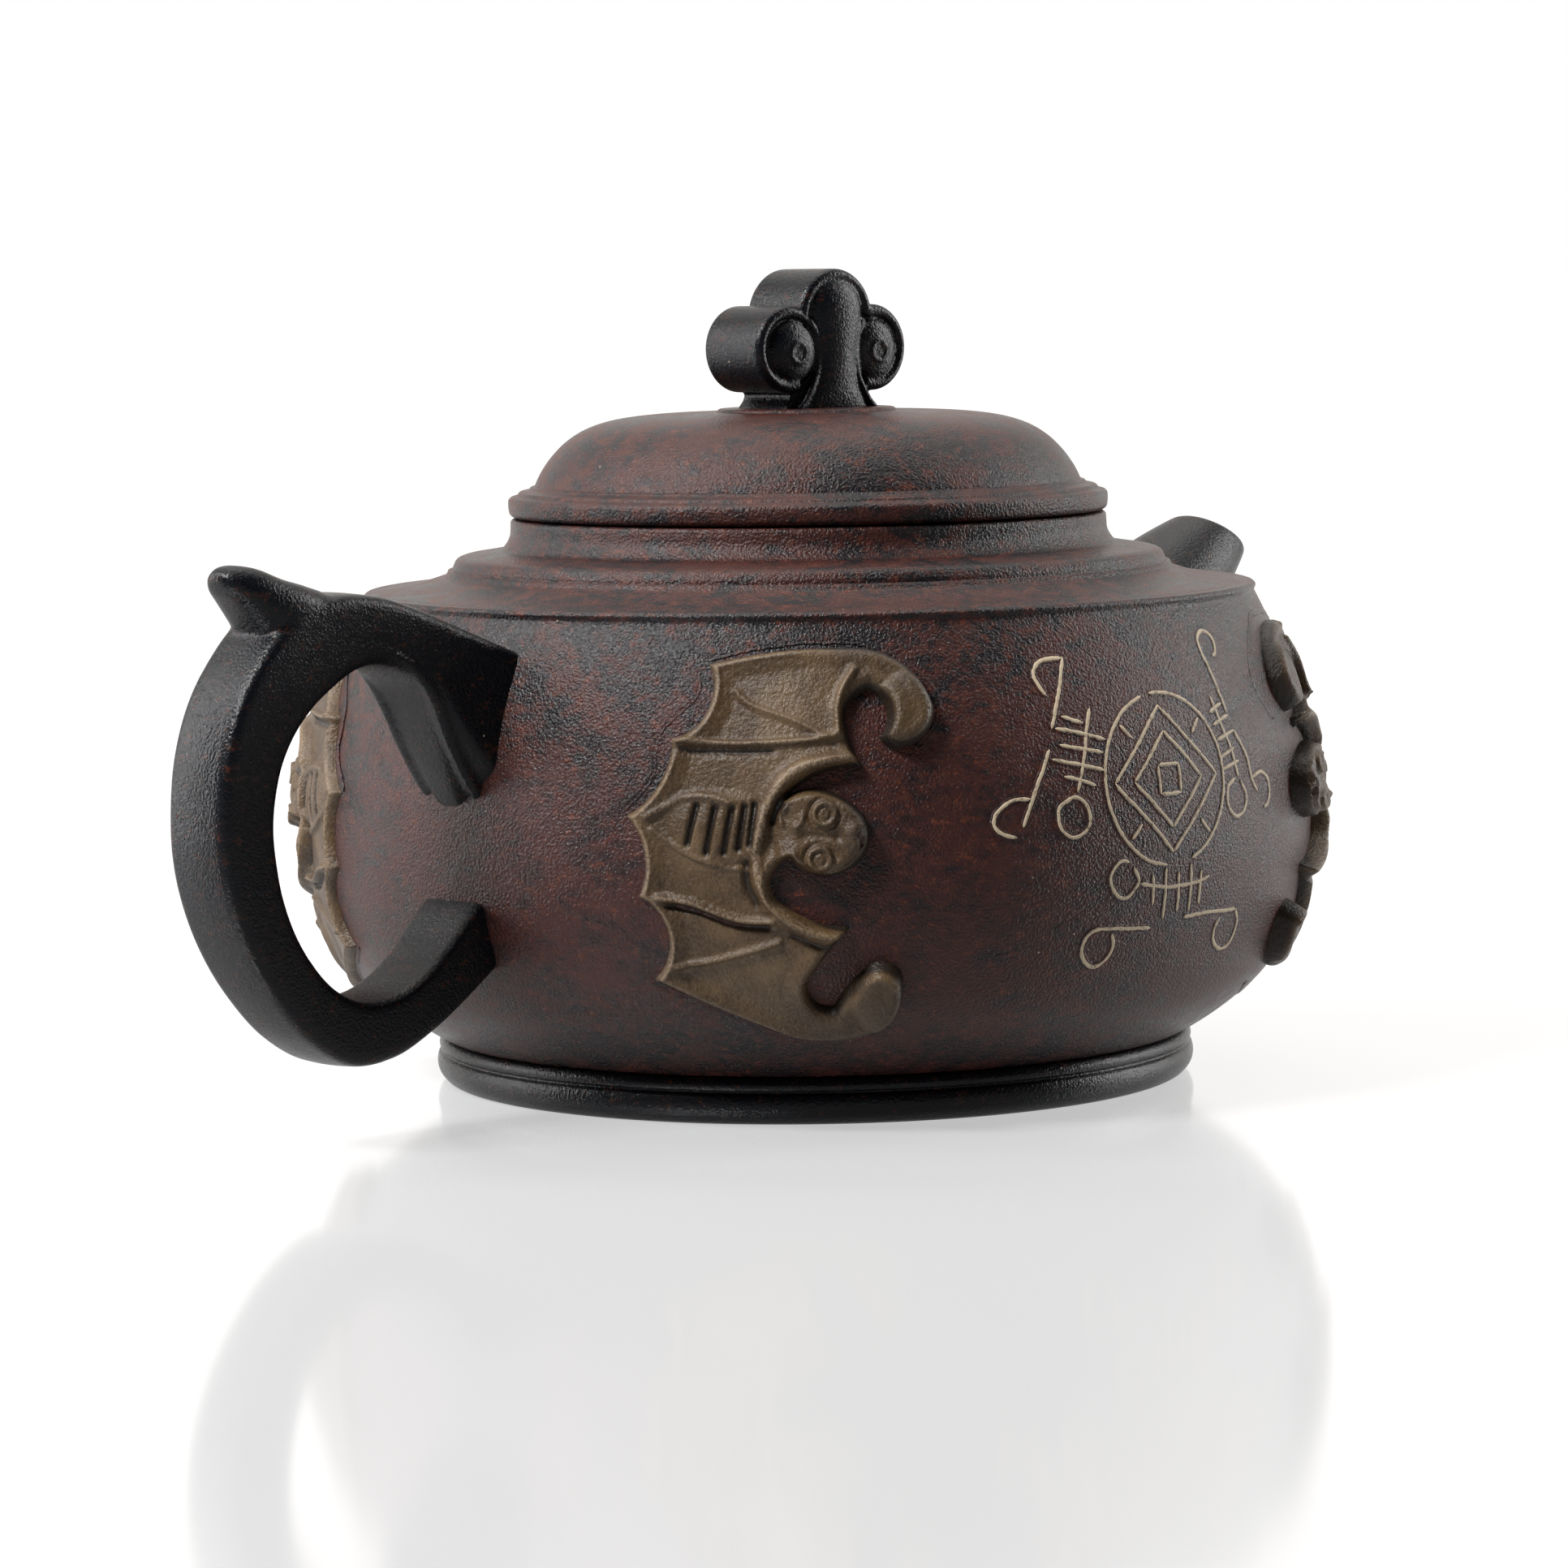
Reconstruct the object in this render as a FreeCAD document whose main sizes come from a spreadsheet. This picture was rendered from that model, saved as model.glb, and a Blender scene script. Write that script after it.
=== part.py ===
import FreeCAD, Part
import math
import os

import Sketcher

# A yixing clay teapot: a drum-shaped pot with a lift-off lid, each piece of clay a solid of its own.
# Millimetres. The pot's turning axis is +Z, the table is z = 0, the spout points along +X, the loop
# handle along -X, and the front of the pot, with its emblem, faces -Y.

Vector = FreeCAD.Vector
AXIS = Vector(0, 0, 1)

# name, value, meaning
DIMENSIONS = (
    ("clay", 2.8, "thickness of the wall"),
    ("foot_radius", 42.35, "widest outer radius of the foot ring"),
    ("foot_inner_radius", 36.4, "inner radius of the foot ring"),
    ("foot_contact_inner", 37.6, "inner radius of the flat that rests on the table"),
    ("foot_contact_outer", 40.6, "outer radius of the flat that rests on the table"),
    ("foot_top", 5.2, "height of the foot ring"),
    ("base_radius", 38.4, "radius of the floor disc"),
    ("base_thickness", 3.0, "thickness of the floor disc"),
    ("wall_foot_radius", 41.4, "outer radius of the wall where it stands on the foot"),
    ("wall_flare_radius", 48.9, "outer radius at the top of the low flare"),
    ("wall_flare_height", 10.5, "height of the top of the low flare"),
    ("wall_haunch_radius", 52.0, "outer radius above the low bend"),
    ("wall_haunch_height", 14.6, "height above the low bend"),
    ("wall_radius", 55.25, "widest outer radius of the wall"),
    ("wall_widest_height", 29.0, "height where the wall is widest"),
    ("wall_upper_radius", 53.5, "outer radius on the upper wall"),
    ("wall_upper_height", 42.0, "height on the upper wall"),
    ("crease_radius", 49.0, "outer radius of the crease under the shoulder"),
    ("crease_height", 53.2, "height where the wall ends"),
    ("flare_bend", 35.0, "radius of the low flare's curve"),
    ("haunch_bend", 14.8, "radius of the low bend"),
    ("belly_bend", 33.6, "radius of the curve below the widest height"),
    ("chest_bend", 49.2, "radius of the curve above the widest height"),
    ("neckward_bend", 60.5, "radius of the curve up to the crease"),
    ("shoulder_rise", 2.8, "height of the shoulder disc"),
    ("shoulder_top_radius", 40.3, "radius where the shoulder's slope ends"),
    ("mouth_radius", 28.6, "radius of the mouth"),
    ("step_radius", 39.2, "outer radius of the raised step"),
    ("step_height", 2.6, "height of the raised step"),
    ("neck_foot_radius", 33.7, "outer radius of the neck at its foot"),
    ("neck_radius", 32.9, "outer radius of the neck at its top"),
    ("neck_height", 3.4, "height of the neck"),
    ("seat_gap", 0.15, "gap between the neck and the lid"),
    ("flange_clearance", 0.4, "radial clearance of the lid's flange in the mouth"),
    ("flange_wall", 2.4, "thickness of the lid's flange"),
    ("flange_depth", 8.0, "how far the flange hangs below the lid's rim"),
    ("rim_radius", 33.1, "outer radius of the lid's rim"),
    ("rim_height", 3.05, "height of the lid's rim"),
    ("dome_radius", 30.1, "outer radius of the lid's dome"),
    ("dome_height", 8.05, "height of the dome above the rim"),
    ("dome_clay", 2.6, "thickness of the dome"),
    ("vent_radius", 0.8, "radius of the vent hole"),
    ("vent_place", 13.5, "distance of the vent hole from the axis"),
    ("pad_radius", 9.7, "radius of the pad under the knob"),
    ("pad_height", 0.5, "height of the pad under the knob"),
    ("knob_stem", 5.4, "half width of the knob's stem"),
    ("knob_lobe_reach", 6.25, "distance of a side lobe's centre from the axis"),
    ("knob_lobe_height", 6.4, "height of a side lobe's centre above the pad"),
    ("knob_lobe_radius", 4.75, "radius of a side lobe"),
    ("knob_crown_half", 5.1, "half width of the top lobe at its notches"),
    ("knob_notch_height", 11.1, "height of the notches above the pad"),
    ("knob_crown_radius", 5.25, "radius of the top lobe"),
    ("knob_depth", 9.0, "depth of the knob from face to face"),
    ("knob_rounding", 0.7, "rounding of the knob's edges"),
    ("knob_turn", -5.0, "angle that the lid stands turned at rest, in degrees"),
    ("scroll_height", 0.45, "height of the raised petal and scroll eyes"),
    ("scroll_eye_radius", 1.6, "outer radius of a scroll eye"),
    ("handle_width", 8.8, "width of the handle along its length"),
    ("handle_thickness", 7.2, "thickness of the handle along its length"),
    ("spur_width", 8.2, "width of the thumb rest"),
    ("spout_hole_radius", 7.5, "radius of the hole in the wall behind the spout"),
    ("spout_hole_height", 37.0, "height of that hole"),
    ("strainer_hole_radius", 1.2, "radius of each hole in the strainer"),
    ("strainer_pitch", 3.9, "distance between the strainer's holes"),
    ("bat_relief", 1.3, "how far a bat's wings stand out of the wall"),
    ("bat_head_relief", 2.0, "how far a bat's head stands out of the wall"),
    ("bat_height", 32.0, "height of a bat's body"),
    ("slip_depth", 0.35, "depth of the incised lines that hold the slip"),
    ("slip_width", 0.55, "width of the incised lines"),
    ("slip_proud", 0.05, "how far the slip stands out of the wall"),
    ("emblem_height", 35.7, "height of the emblem's centre"),
    ("emblem_radius", 8.9, "radius of the emblem's ring"),
)
SIZES = {name: value for name, value, meaning in DIMENSIONS}

# Directions round the pot in degrees from +X, anticlockwise from above. The back repeats the front.
FRONT_EMBLEM = 266.0
FRONT_HANDLE_SIDE_BAT = 220.0
FRONT_SPOUT_SIDE_BAT = 304.5

document = FreeCAD.newDocument("teapot")


class Length:
    """A length's value and the expression that binds it to the sheet."""

    def __init__(self, value, text):
        self.value = value
        self.text = text

    def __add__(self, other):
        other = as_length(other)
        return Length(self.value + other.value, f"({self.text} + {other.text})")

    def __sub__(self, other):
        other = as_length(other)
        return Length(self.value - other.value, f"({self.text} - {other.text})")

    def __mul__(self, factor):
        return Length(self.value * factor, f"({self.text} * {factor})")


def as_length(number):
    return number if isinstance(number, Length) else Length(number, str(number))


def size(name):
    """A dimension from the sheet, for use in expressions."""
    return Length(SIZES[name], f"Sizes.{name}")


def make_sheet():
    sheet = document.addObject("Spreadsheet::Sheet", "Sizes")
    for row, (name, value, meaning) in enumerate(DIMENSIONS, start=1):
        sheet.set(f"A{row}", meaning)
        sheet.set(f"B{row}", str(value))
        sheet.setAlias(f"B{row}", name)
    document.recompute()
    return sheet


def origin_plane(body, role):
    return next(feature for feature in body.Origin.OriginFeatures if feature.Role == role)


def new_body(name):
    body = document.addObject("PartDesign::Body", name)
    body.Label = name
    return body


def new_sketch(body, name, role):
    sketch = body.newObject("Sketcher::SketchObject", name)
    sketch.AttachmentSupport = [(origin_plane(body, role), "")]
    sketch.MapMode = "FlatFace"
    return sketch


def bind(sketch, kind, place, length):
    """Add one dimension to a sketch and bind it to the sheet."""
    index = sketch.addConstraint(Sketcher.Constraint(kind, *place, length.value))
    sketch.setExpression(f"Constraints[{index}]", length.text)


def arc_centre(start, end, radius):
    """The centre of the arc from start to end that bulges to the right of travel, or left if radius < 0."""
    chord = end - start
    left = Vector(-chord.y, chord.x, 0).normalize()
    height = math.sqrt(radius * radius - chord.Length * chord.Length / 4)
    return (start + end) * 0.5 + left * math.copysign(height, radius)


def arc_between(start, end, radius):
    """A circle's arc, which always runs anticlockwise, so a left-hand bulge runs from end to start."""
    centre = arc_centre(start, end, radius)
    first, last = (start, end) if radius > 0 else (end, start)
    angles = [math.atan2(point.y - centre.y, point.x - centre.x) for point in (first, last)]
    return Part.ArcOfCircle(Part.Circle(centre, AXIS, abs(radius)), *angles)


def bind_corner(sketch, place, across, up):
    """Hold one corner of an outline at its distances from the sketch's two axes."""
    horizontal_axis, vertical_axis = -1, -2
    if across.value == 0:
        sketch.addConstraint(Sketcher.Constraint("PointOnObject", *place, vertical_axis))
    else:
        bind(sketch, "DistanceX", place, across)
    if up.value == 0:
        sketch.addConstraint(Sketcher.Constraint("PointOnObject", *place, horizontal_axis))
    else:
        bind(sketch, "DistanceY", place, up)


def draw_outline(sketch, corners):
    """A closed outline. Each corner is (across, up) after a straight edge, or (across, up, radius) after
    an arc; a positive radius bulges to the right of travel, and the outline runs anticlockwise."""
    start_point, end_point = 1, 2
    corners = [tuple(as_length(number) for number in corner) for corner in corners]
    points = [Vector(corner[0].value, corner[1].value, 0) for corner in corners]
    ends = []
    for number, corner in enumerate(corners):
        before, here = points[number - 1], points[number]
        if len(corner) == 2:
            edge = sketch.addGeometry(Part.LineSegment(before, here), False)
            ends.append(((edge, start_point), (edge, end_point)))
            continue
        radius = corner[2]
        edge = sketch.addGeometry(arc_between(before, here, radius.value), False)
        bind(sketch, "Radius", (edge,), radius if radius.value > 0 else radius * -1)
        forward = ((edge, start_point), (edge, end_point))
        ends.append(forward if radius.value > 0 else forward[::-1])
    for number, corner in enumerate(corners):
        following = ends[(number + 1) % len(ends)][0]
        sketch.addConstraint(Sketcher.Constraint("Coincident", *ends[number][1], *following))
        bind_corner(sketch, ends[number][1], corner[0], corner[1])


def turned(name, corners):
    """A piece of revolution round the pot's axis, from its section's outline."""
    body = new_body(name)
    sketch = new_sketch(body, name + "_section", "XZ_Plane")
    draw_outline(sketch, corners)
    turning = body.newObject("PartDesign::Revolution", name + "_turning")
    turning.Profile = sketch
    turning.ReferenceAxis = (sketch, ["V_Axis"])
    turning.Angle = 360
    body.Tip = turning
    document.recompute()
    return body


# Heights that follow from the sheet
shoulder_top = size("crease_height") + size("shoulder_rise")
step_top = shoulder_top + size("step_height")
neck_top = step_top + size("neck_height")
lid_seat = neck_top + size("seat_gap")
rim_top = lid_seat + size("rim_height")
dome_top = rim_top + size("dome_height")
pad_top = dome_top + size("pad_height")
flange_radius = size("mouth_radius") - size("flange_clearance")
flange_inner = flange_radius - size("flange_wall")


def wall_outside():
    """The wall's outer line from the foot to the crease, as corners of an outline."""
    return [
        (size("wall_flare_radius"), size("wall_flare_height"), size("flare_bend")),
        (size("wall_haunch_radius"), size("wall_haunch_height"), size("haunch_bend")),
        (size("wall_radius"), size("wall_widest_height"), size("belly_bend")),
        (size("wall_upper_radius"), size("wall_upper_height"), size("chest_bend")),
        (size("crease_radius"), size("crease_height"), size("neckward_bend")),
    ]


def foot_ring():
    """A rounded ring with a fine groove round the middle of its outside."""
    groove = size("foot_top") * 0.5
    lip = size("foot_radius") - 0.1
    return turned("foot_ring", [
        (size("foot_contact_inner"), 0),
        (size("foot_contact_outer"), 0),
        (lip, groove - 0.2, 2.6),
        (lip - 0.25, groove),
        (lip, groove + 0.2),
        (size("foot_radius") - 1.15, size("foot_top"), 2.9),
        (size("foot_inner_radius"), size("foot_top")),
        (size("foot_inner_radius"), 1.4),
    ])


def base_disc():
    """The flat floor of the pot."""
    top = size("foot_top") + size("base_thickness")
    return turned("base_disc", [
        (0, size("foot_top")),
        (size("base_radius"), size("foot_top")),
        (size("base_radius"), top),
        (0, top),
    ])


def body_wall_ring():
    """The beaten wall before its openings are cut: an even thickness all the way up."""
    clay = size("clay")
    floor = size("foot_top") + size("base_thickness")
    return turned("wall_ring", [
        (size("base_radius"), size("foot_top")),
        (size("wall_foot_radius"), size("foot_top")),
        *wall_outside(),
        (size("crease_radius") - clay, size("crease_height")),
        (size("wall_upper_radius") - clay, size("wall_upper_height"), (size("neckward_bend") - clay) * -1),
        (size("wall_radius") - clay, size("wall_widest_height"), (size("chest_bend") - clay) * -1),
        (size("wall_haunch_radius") - clay * 0.9, size("wall_haunch_height") + 1.2,
         (size("belly_bend") - clay) * -1),
        (size("wall_flare_radius") - 1.6, size("wall_flare_height") + 2.3, (size("haunch_bend") - clay) * -1),
        (size("wall_foot_radius") - 1.2, floor, size("flare_bend") * -1),
        (size("base_radius"), floor),
    ])


def shoulder_disc():
    """The disc that closes the wall, with a soft edge and a slightly hollow slope up to the step."""
    return turned("shoulder_disc", [
        (size("mouth_radius"), size("crease_height")),
        (size("crease_radius"), size("crease_height")),
        (size("crease_radius") - 0.4, size("crease_height") + 0.75, 0.6),
        (size("shoulder_top_radius"), shoulder_top, -60.0),
        (size("mouth_radius"), shoulder_top),
    ])


def shoulder_step():
    """The raised step: a small cove, a rounded lip and a gently rising top."""
    return turned("shoulder_step", [
        (size("mouth_radius"), shoulder_top),
        (size("step_radius") + 0.4, shoulder_top),
        (size("step_radius"), shoulder_top + 0.8, -1.2),
        (size("step_radius") - 0.9, step_top - 0.75, 1.1),
        (size("neck_foot_radius"), step_top),
        (size("mouth_radius"), step_top),
    ])


def neck_ring():
    """The collar that the lid sits on."""
    return turned("neck_ring", [
        (size("mouth_radius"), step_top),
        (size("neck_foot_radius"), step_top),
        (size("neck_radius"), neck_top - 0.4, -8.0),
        (size("neck_radius") - 0.4, neck_top, 0.45),
        (size("mouth_radius"), neck_top),
    ])


def lid_flange():
    """The ring under the lid that holds it in the mouth."""
    bottom = lid_seat - size("flange_depth")
    return turned("lid_flange", [
        (flange_inner, bottom),
        (flange_radius - 0.8, bottom),
        (flange_radius, bottom + 0.8, 0.85),
        (flange_radius, lid_seat),
        (flange_inner, lid_seat),
    ])


def lid_rim():
    """The lid's flat seat: a rounded bead outside, with a low ledge up to the dome."""
    return turned("lid_rim", [
        (flange_inner, lid_seat),
        (size("rim_radius") - 0.6, lid_seat),
        (size("rim_radius"), lid_seat + 1.0, 1.0),
        (size("rim_radius") - 0.9, lid_seat + 2.3, 1.6),
        (size("rim_radius") - 2.1, lid_seat + 2.75),
        (size("rim_radius") - 2.1, rim_top),
        (flange_inner, rim_top),
    ])


def lid_dome():
    """The lid's top: steep sides, a round turn and an almost level crown, with a small vent hole."""
    clay = size("dome_clay")
    body = turned("lid_dome", [
        (size("dome_radius"), rim_top),
        (size("dome_radius") - 1.8, rim_top + size("dome_height") * 0.42, 16.0),
        (size("dome_radius") - 6.7, dome_top - 1.2, 7.2),
        (size("pad_radius"), dome_top, 60.0),
        (0, dome_top),
        (0, dome_top - clay),
        (size("dome_radius") - 10.6, dome_top - clay - 0.6, -120.0),
        (flange_inner, rim_top, -7.5),
    ])
    sketch = new_sketch(body, "vent_circle", "XY_Plane")
    circle = sketch.addGeometry(Part.Circle(Vector(10, 9, 0), AXIS, SIZES["vent_radius"]), False)
    centre = (circle, 3)
    bind(sketch, "Radius", (circle,), size("vent_radius"))
    bind(sketch, "DistanceX", centre, size("vent_place") * 0.74)
    bind(sketch, "DistanceY", centre, size("vent_place") * 0.67)
    vent = body.newObject("PartDesign::Pocket", "vent")
    vent.Profile = sketch
    vent.Type = "ThroughAll"
    vent.Midplane = True
    body.Tip = vent
    return body


def knob_pad():
    """The thin pad luted between the dome and the knob."""
    return turned("knob_pad", [
        (0, dome_top),
        (size("pad_radius"), dome_top),
        (size("pad_radius") - 0.3, pad_top, 0.7),
        (0, pad_top),
    ])


def knob():
    """The cloud-shaped knob: two side lobes, a top lobe and a stem, padded to its depth and rounded."""
    radius = size("knob_lobe_radius")
    stem, crown = size("knob_stem"), size("knob_crown_half")
    lobe_height = pad_top + size("knob_lobe_height")
    notch = pad_top + size("knob_notch_height")
    stem_top = lobe_height - radius + 0.1
    tip = size("knob_lobe_reach") + radius
    body = new_body("knob")
    sketch = new_sketch(body, "knob_outline", "XZ_Plane")
    draw_outline(sketch, [
        (stem + 0.5, pad_top),
        (stem, stem_top),
        (tip, lobe_height, radius),
        (crown, notch, radius),
        (crown * -1, notch, size("knob_crown_radius")),
        (tip * -1, lobe_height, radius),
        (stem * -1, stem_top, radius),
        ((stem + 0.5) * -1, pad_top),
    ])
    padding = body.newObject("PartDesign::Pad", "knob_thickness")
    padding.Profile = sketch
    padding.Midplane = True
    padding.Length = SIZES["knob_depth"]
    padding.setExpression("Length", size("knob_depth").text)
    body.Tip = padding
    document.recompute()
    rounding = body.newObject("PartDesign::Fillet", "knob_edges")
    half_depth = SIZES["knob_depth"] / 2
    face_edges = [
        f"Edge{number}"
        for number, edge in enumerate(padding.Shape.Edges, start=1)
        if abs(abs(edge.CenterOfMass.y) - half_depth) < 0.01 and edge.BoundBox.ZMax > pad_top.value + 0.1
    ]
    rounding.Base = (padding, face_edges)
    rounding.Radius = SIZES["knob_rounding"]
    rounding.setExpression("Radius", size("knob_rounding").text)
    body.Tip = rounding
    return turn_with_lid(body)


def turn_with_lid(piece):
    """Stand a piece of the lid turned about the axis as the lid stands at rest."""
    piece.Placement = FreeCAD.Placement(Vector(0, 0, 0), FreeCAD.Rotation(AXIS, SIZES["knob_turn"]))
    return piece


def shape_piece(name, shape):
    """A piece whose shape is made by geometry functions."""
    piece = document.addObject("Part::Feature", name)
    piece.Label = name
    piece.Shape = shape
    piece.Placement = FreeCAD.Placement()
    return piece


def knob_scrolls(name, side):
    """The raised petal and two scroll eyes on one face of the knob; side is -1 at the front, 1 behind."""
    base, height = pad_top.value, SIZES["scroll_height"]
    face = side * SIZES["knob_depth"] / 2
    foot, waist, shoulder = 4.4, 2.9, 3.5
    waist_height, crown_height = base + 6.0, base + 13.6
    shoulder_height = crown_height - 3.4
    left_foot, right_foot = Vector(-foot, face, base + 0.4), Vector(foot, face, base + 0.4)
    left_top, right_top = Vector(-shoulder, face, shoulder_height), Vector(shoulder, face, shoulder_height)
    petal = Part.Wire([
        Part.makeLine(left_foot, right_foot),
        Part.Arc(right_foot, Vector(waist, face, waist_height), right_top).toShape(),
        Part.Arc(right_top, Vector(0, face, crown_height), left_top).toShape(),
        Part.Arc(left_top, Vector(-waist, face, waist_height), left_foot).toShape(),
    ])
    outward = Vector(0, side * height, 0)
    solids = [Part.Face(petal).extrude(outward)]
    eye_height = base + SIZES["knob_lobe_height"] - 0.3
    for across in (-1, 1):
        centre = Vector(across * (SIZES["knob_lobe_reach"] + 0.3), face, eye_height)
        outer = Part.makeCylinder(SIZES["scroll_eye_radius"], height, centre, outward)
        inner = Part.makeCylinder(SIZES["scroll_eye_radius"] * 0.6, height, centre, outward)
        solids.append(outer.cut(inner))
    return turn_with_lid(shape_piece(name, Part.makeCompound(solids)))


def drum(proud):
    """The solid drum inside the wall's outer line, moved outwards by proud."""
    corners = [(size("wall_foot_radius"), size("foot_top")), *wall_outside()]
    points = [Vector(corner[0].value + proud, 0, corner[1].value) for corner in corners]
    edges = [Part.makeLine(Vector(0, 0, points[0].z), points[0])]
    for start, end, corner in zip(points, points[1:], corners[1:]):
        flat_start, flat_end = Vector(start.x, start.z, 0), Vector(end.x, end.z, 0)
        middle = arc_middle(flat_start, flat_end, corner[2].value)
        edges.append(Part.Arc(start, Vector(middle.x, 0, middle.y), end).toShape())
    edges.append(Part.makeLine(points[-1], Vector(0, 0, points[-1].z)))
    edges.append(Part.makeLine(Vector(0, 0, points[-1].z), Vector(0, 0, points[0].z)))
    return Part.Face(Part.Wire(edges)).revolve(Vector(0, 0, 0), AXIS, 360)


def arc_middle(start, end, radius):
    """The middle point of the arc from start to end."""
    centre = arc_centre(start, end, radius)
    outward = (start + end) * 0.5 - centre
    return centre + outward.normalize() * abs(radius)


def facing(direction, height, shape):
    """Move a shape drawn in the XZ plane, with its middle at the origin, out to a direction round the pot."""
    outward_from_front = direction - 270.0
    shape.translate(Vector(0, 0, height))
    shape.rotate(Vector(0, 0, 0), AXIS, outward_from_front)
    return shape


def outward_prism(face):
    """A face in the XZ plane, carried from the axis out past the wall towards the front."""
    return face.extrude(Vector(0, -SIZES["wall_radius"] * 1.2, 0))


# A bat's outline from the wing's corner at its tail, clockwise as seen from outside: middle and end of
# each arc, across towards the head and up from the bat's body. Points marked 1 lie on the upper curl,
# points marked 2 on the head and points marked 3 between them: these reach differently from bat to bat.
BAT_START = (-7.4, 17.0)
BAT_ARCS = (
    ((0.0, 18.2, 0), (6.7, 18.4, 0)),
    ((12.3, 16.7, 1), (15.3, 12.4, 1)),
    ((14.4, 9.5, 1), (12.2, 8.4, 1)),
    ((10.8, 8.6, 1), (9.9, 9.5, 1)),
    ((10.6, 12.2, 1), (8.8, 14.2, 1)),
    ((6.9, 12.9, 1), (6.7, 10.2, 1)),
    ((7.2, 8.4, 3), (8.3, 6.7, 3)),
    ((4.2, 6.1, 3), (0.6, 3.9, 0)),
    ((4.7, 4.3, 2), (7.8, 2.4, 2)),
    ((8.9, 0.0, 2), (7.8, -2.8, 2)),
    ((4.6, -4.3, 2), (0.8, -2.4, 0)),
    ((-1.2, -4.6, 0), (0.0, -7.2, 0)),
    ((3.0, -8.9, 0), (6.7, -9.6, 0)),
    ((4.3, -12.4, 0), (2.2, -15.3, 0)),
    ((3.0, -17.5, 0), (4.9, -18.0, 0)),
    ((6.6, -15.6, 0), (8.7, -13.6, 0)),
    ((10.9, -13.6, 0), (11.9, -15.8, 0)),
    ((11.0, -18.9, 0), (7.5, -21.2, 0)),
    ((3.5, -21.5, 0), (-1.0, -20.5, 0)),
    ((-7.0, -18.1, 0), (-13.4, -15.1, 0)),
    ((-11.7, -11.0, 0), (-14.8, -6.5, 0)),
    ((-14.0, -2.5, 0), (-15.9, 1.8, 0)),
    ((-12.4, 5.2, 0), (-11.1, 9.6, 0)),
    ((-7.7, 12.0, 0), (-7.4, 17.0, 0)),
)
BAT_HEAD_CENTRE = 4.6
BAT_HEAD_RADIUS = 3.6


def bat(name, direction, heading, curl_reach=0.0, head_reach=0.0):
    """A bat pressed on the wall. Its head points to the right of its direction if heading is 1, seen
    from outside; curl_reach and head_reach push its upper curl and its head further forward."""
    reach = (0.0, curl_reach, head_reach, curl_reach / 2)

    def place(across, up, part=0):
        return Vector(heading * (across + reach[part]), 0, up)

    edges = []
    last = place(*BAT_START)
    for middle, end in BAT_ARCS:
        edges.append(Part.Arc(last, place(*middle), place(*end)).toShape())
        last = place(*end)
    wings = outward_prism(Part.Face(Part.Wire(edges)))
    wings = facing(direction, SIZES["bat_height"], wings).common(drum(SIZES["bat_relief"]))
    centre = place(BAT_HEAD_CENTRE, 0.0, 2)
    circle = Part.Wire(Part.Circle(centre, Vector(0, 1, 0), BAT_HEAD_RADIUS).toShape())
    head = facing(direction, SIZES["bat_height"], outward_prism(Part.Face(circle)))
    head = head.common(drum(SIZES["bat_head_relief"]))
    return shape_piece(name, wings.fuse(head).cut(drum(0)).removeSplitter())


def bar(start, end, width):
    """A straight incised line in the XZ plane, as a thin rectangle."""
    along = Vector(end[0] - start[0], 0, end[1] - start[1])
    side = Vector(-along.z, 0, along.x).normalize() * (width / 2)
    first, last = Vector(start[0], 0, start[1]), Vector(end[0], 0, end[1])
    corners = [first - side, last - side, last + side, first + side, first - side]
    return Part.Face(Part.makePolygon(corners))


def hoop(centre, radius, width, opening=None):
    """A round incised line. opening is the (first, last) angle in degrees of the stretch that is drawn."""
    middle = Vector(centre[0], 0, centre[1])
    outer = Part.Face(Part.Wire(Part.Circle(middle, Vector(0, -1, 0), radius + width / 2).toShape()))
    inner = Part.Face(Part.Wire(Part.Circle(middle, Vector(0, -1, 0), radius - width / 2).toShape()))
    ring = outer.cut(inner)
    if opening is None:
        return ring
    angles = [math.radians(opening[0] + (opening[1] - opening[0]) * step / 4) for step in range(5)]
    far = radius * 3
    fan = [middle + Vector(math.cos(angle), 0, math.sin(angle)) * far for angle in angles]
    return ring.common(Part.Face(Part.makePolygon([middle, *fan, middle])))


def chain(corners, width):
    """Bars of slip that join corners one after the other."""
    return [bar(start, end, width) for start, end in zip(corners, corners[1:])]


def emblem_lines():
    """A round emblem: a broken ring round two nested diamonds, a small square and four spokes."""
    width, radius = SIZES["slip_width"], SIZES["emblem_radius"]
    lines = [hoop((0, 0), radius, width, (-64, 110)), hoop((0, 0), radius, width, (100, 270))]
    for reach in (7.6, 5.0):
        lines.extend(chain(((reach, 0), (0, reach), (-reach, 0), (0, -reach), (reach, 0)), width))
    half = 1.5
    lines.extend(chain(((half, half), (-half, half), (-half, -half), (half, -half), (half, half)), width))
    for across, up in ((1, 1), (-1, 1), (-1, -1), (1, -1)):
        lines.append(bar((4.4 * across, 4.4 * up), (5.9 * across, 5.9 * up), width))
    return lines


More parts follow.
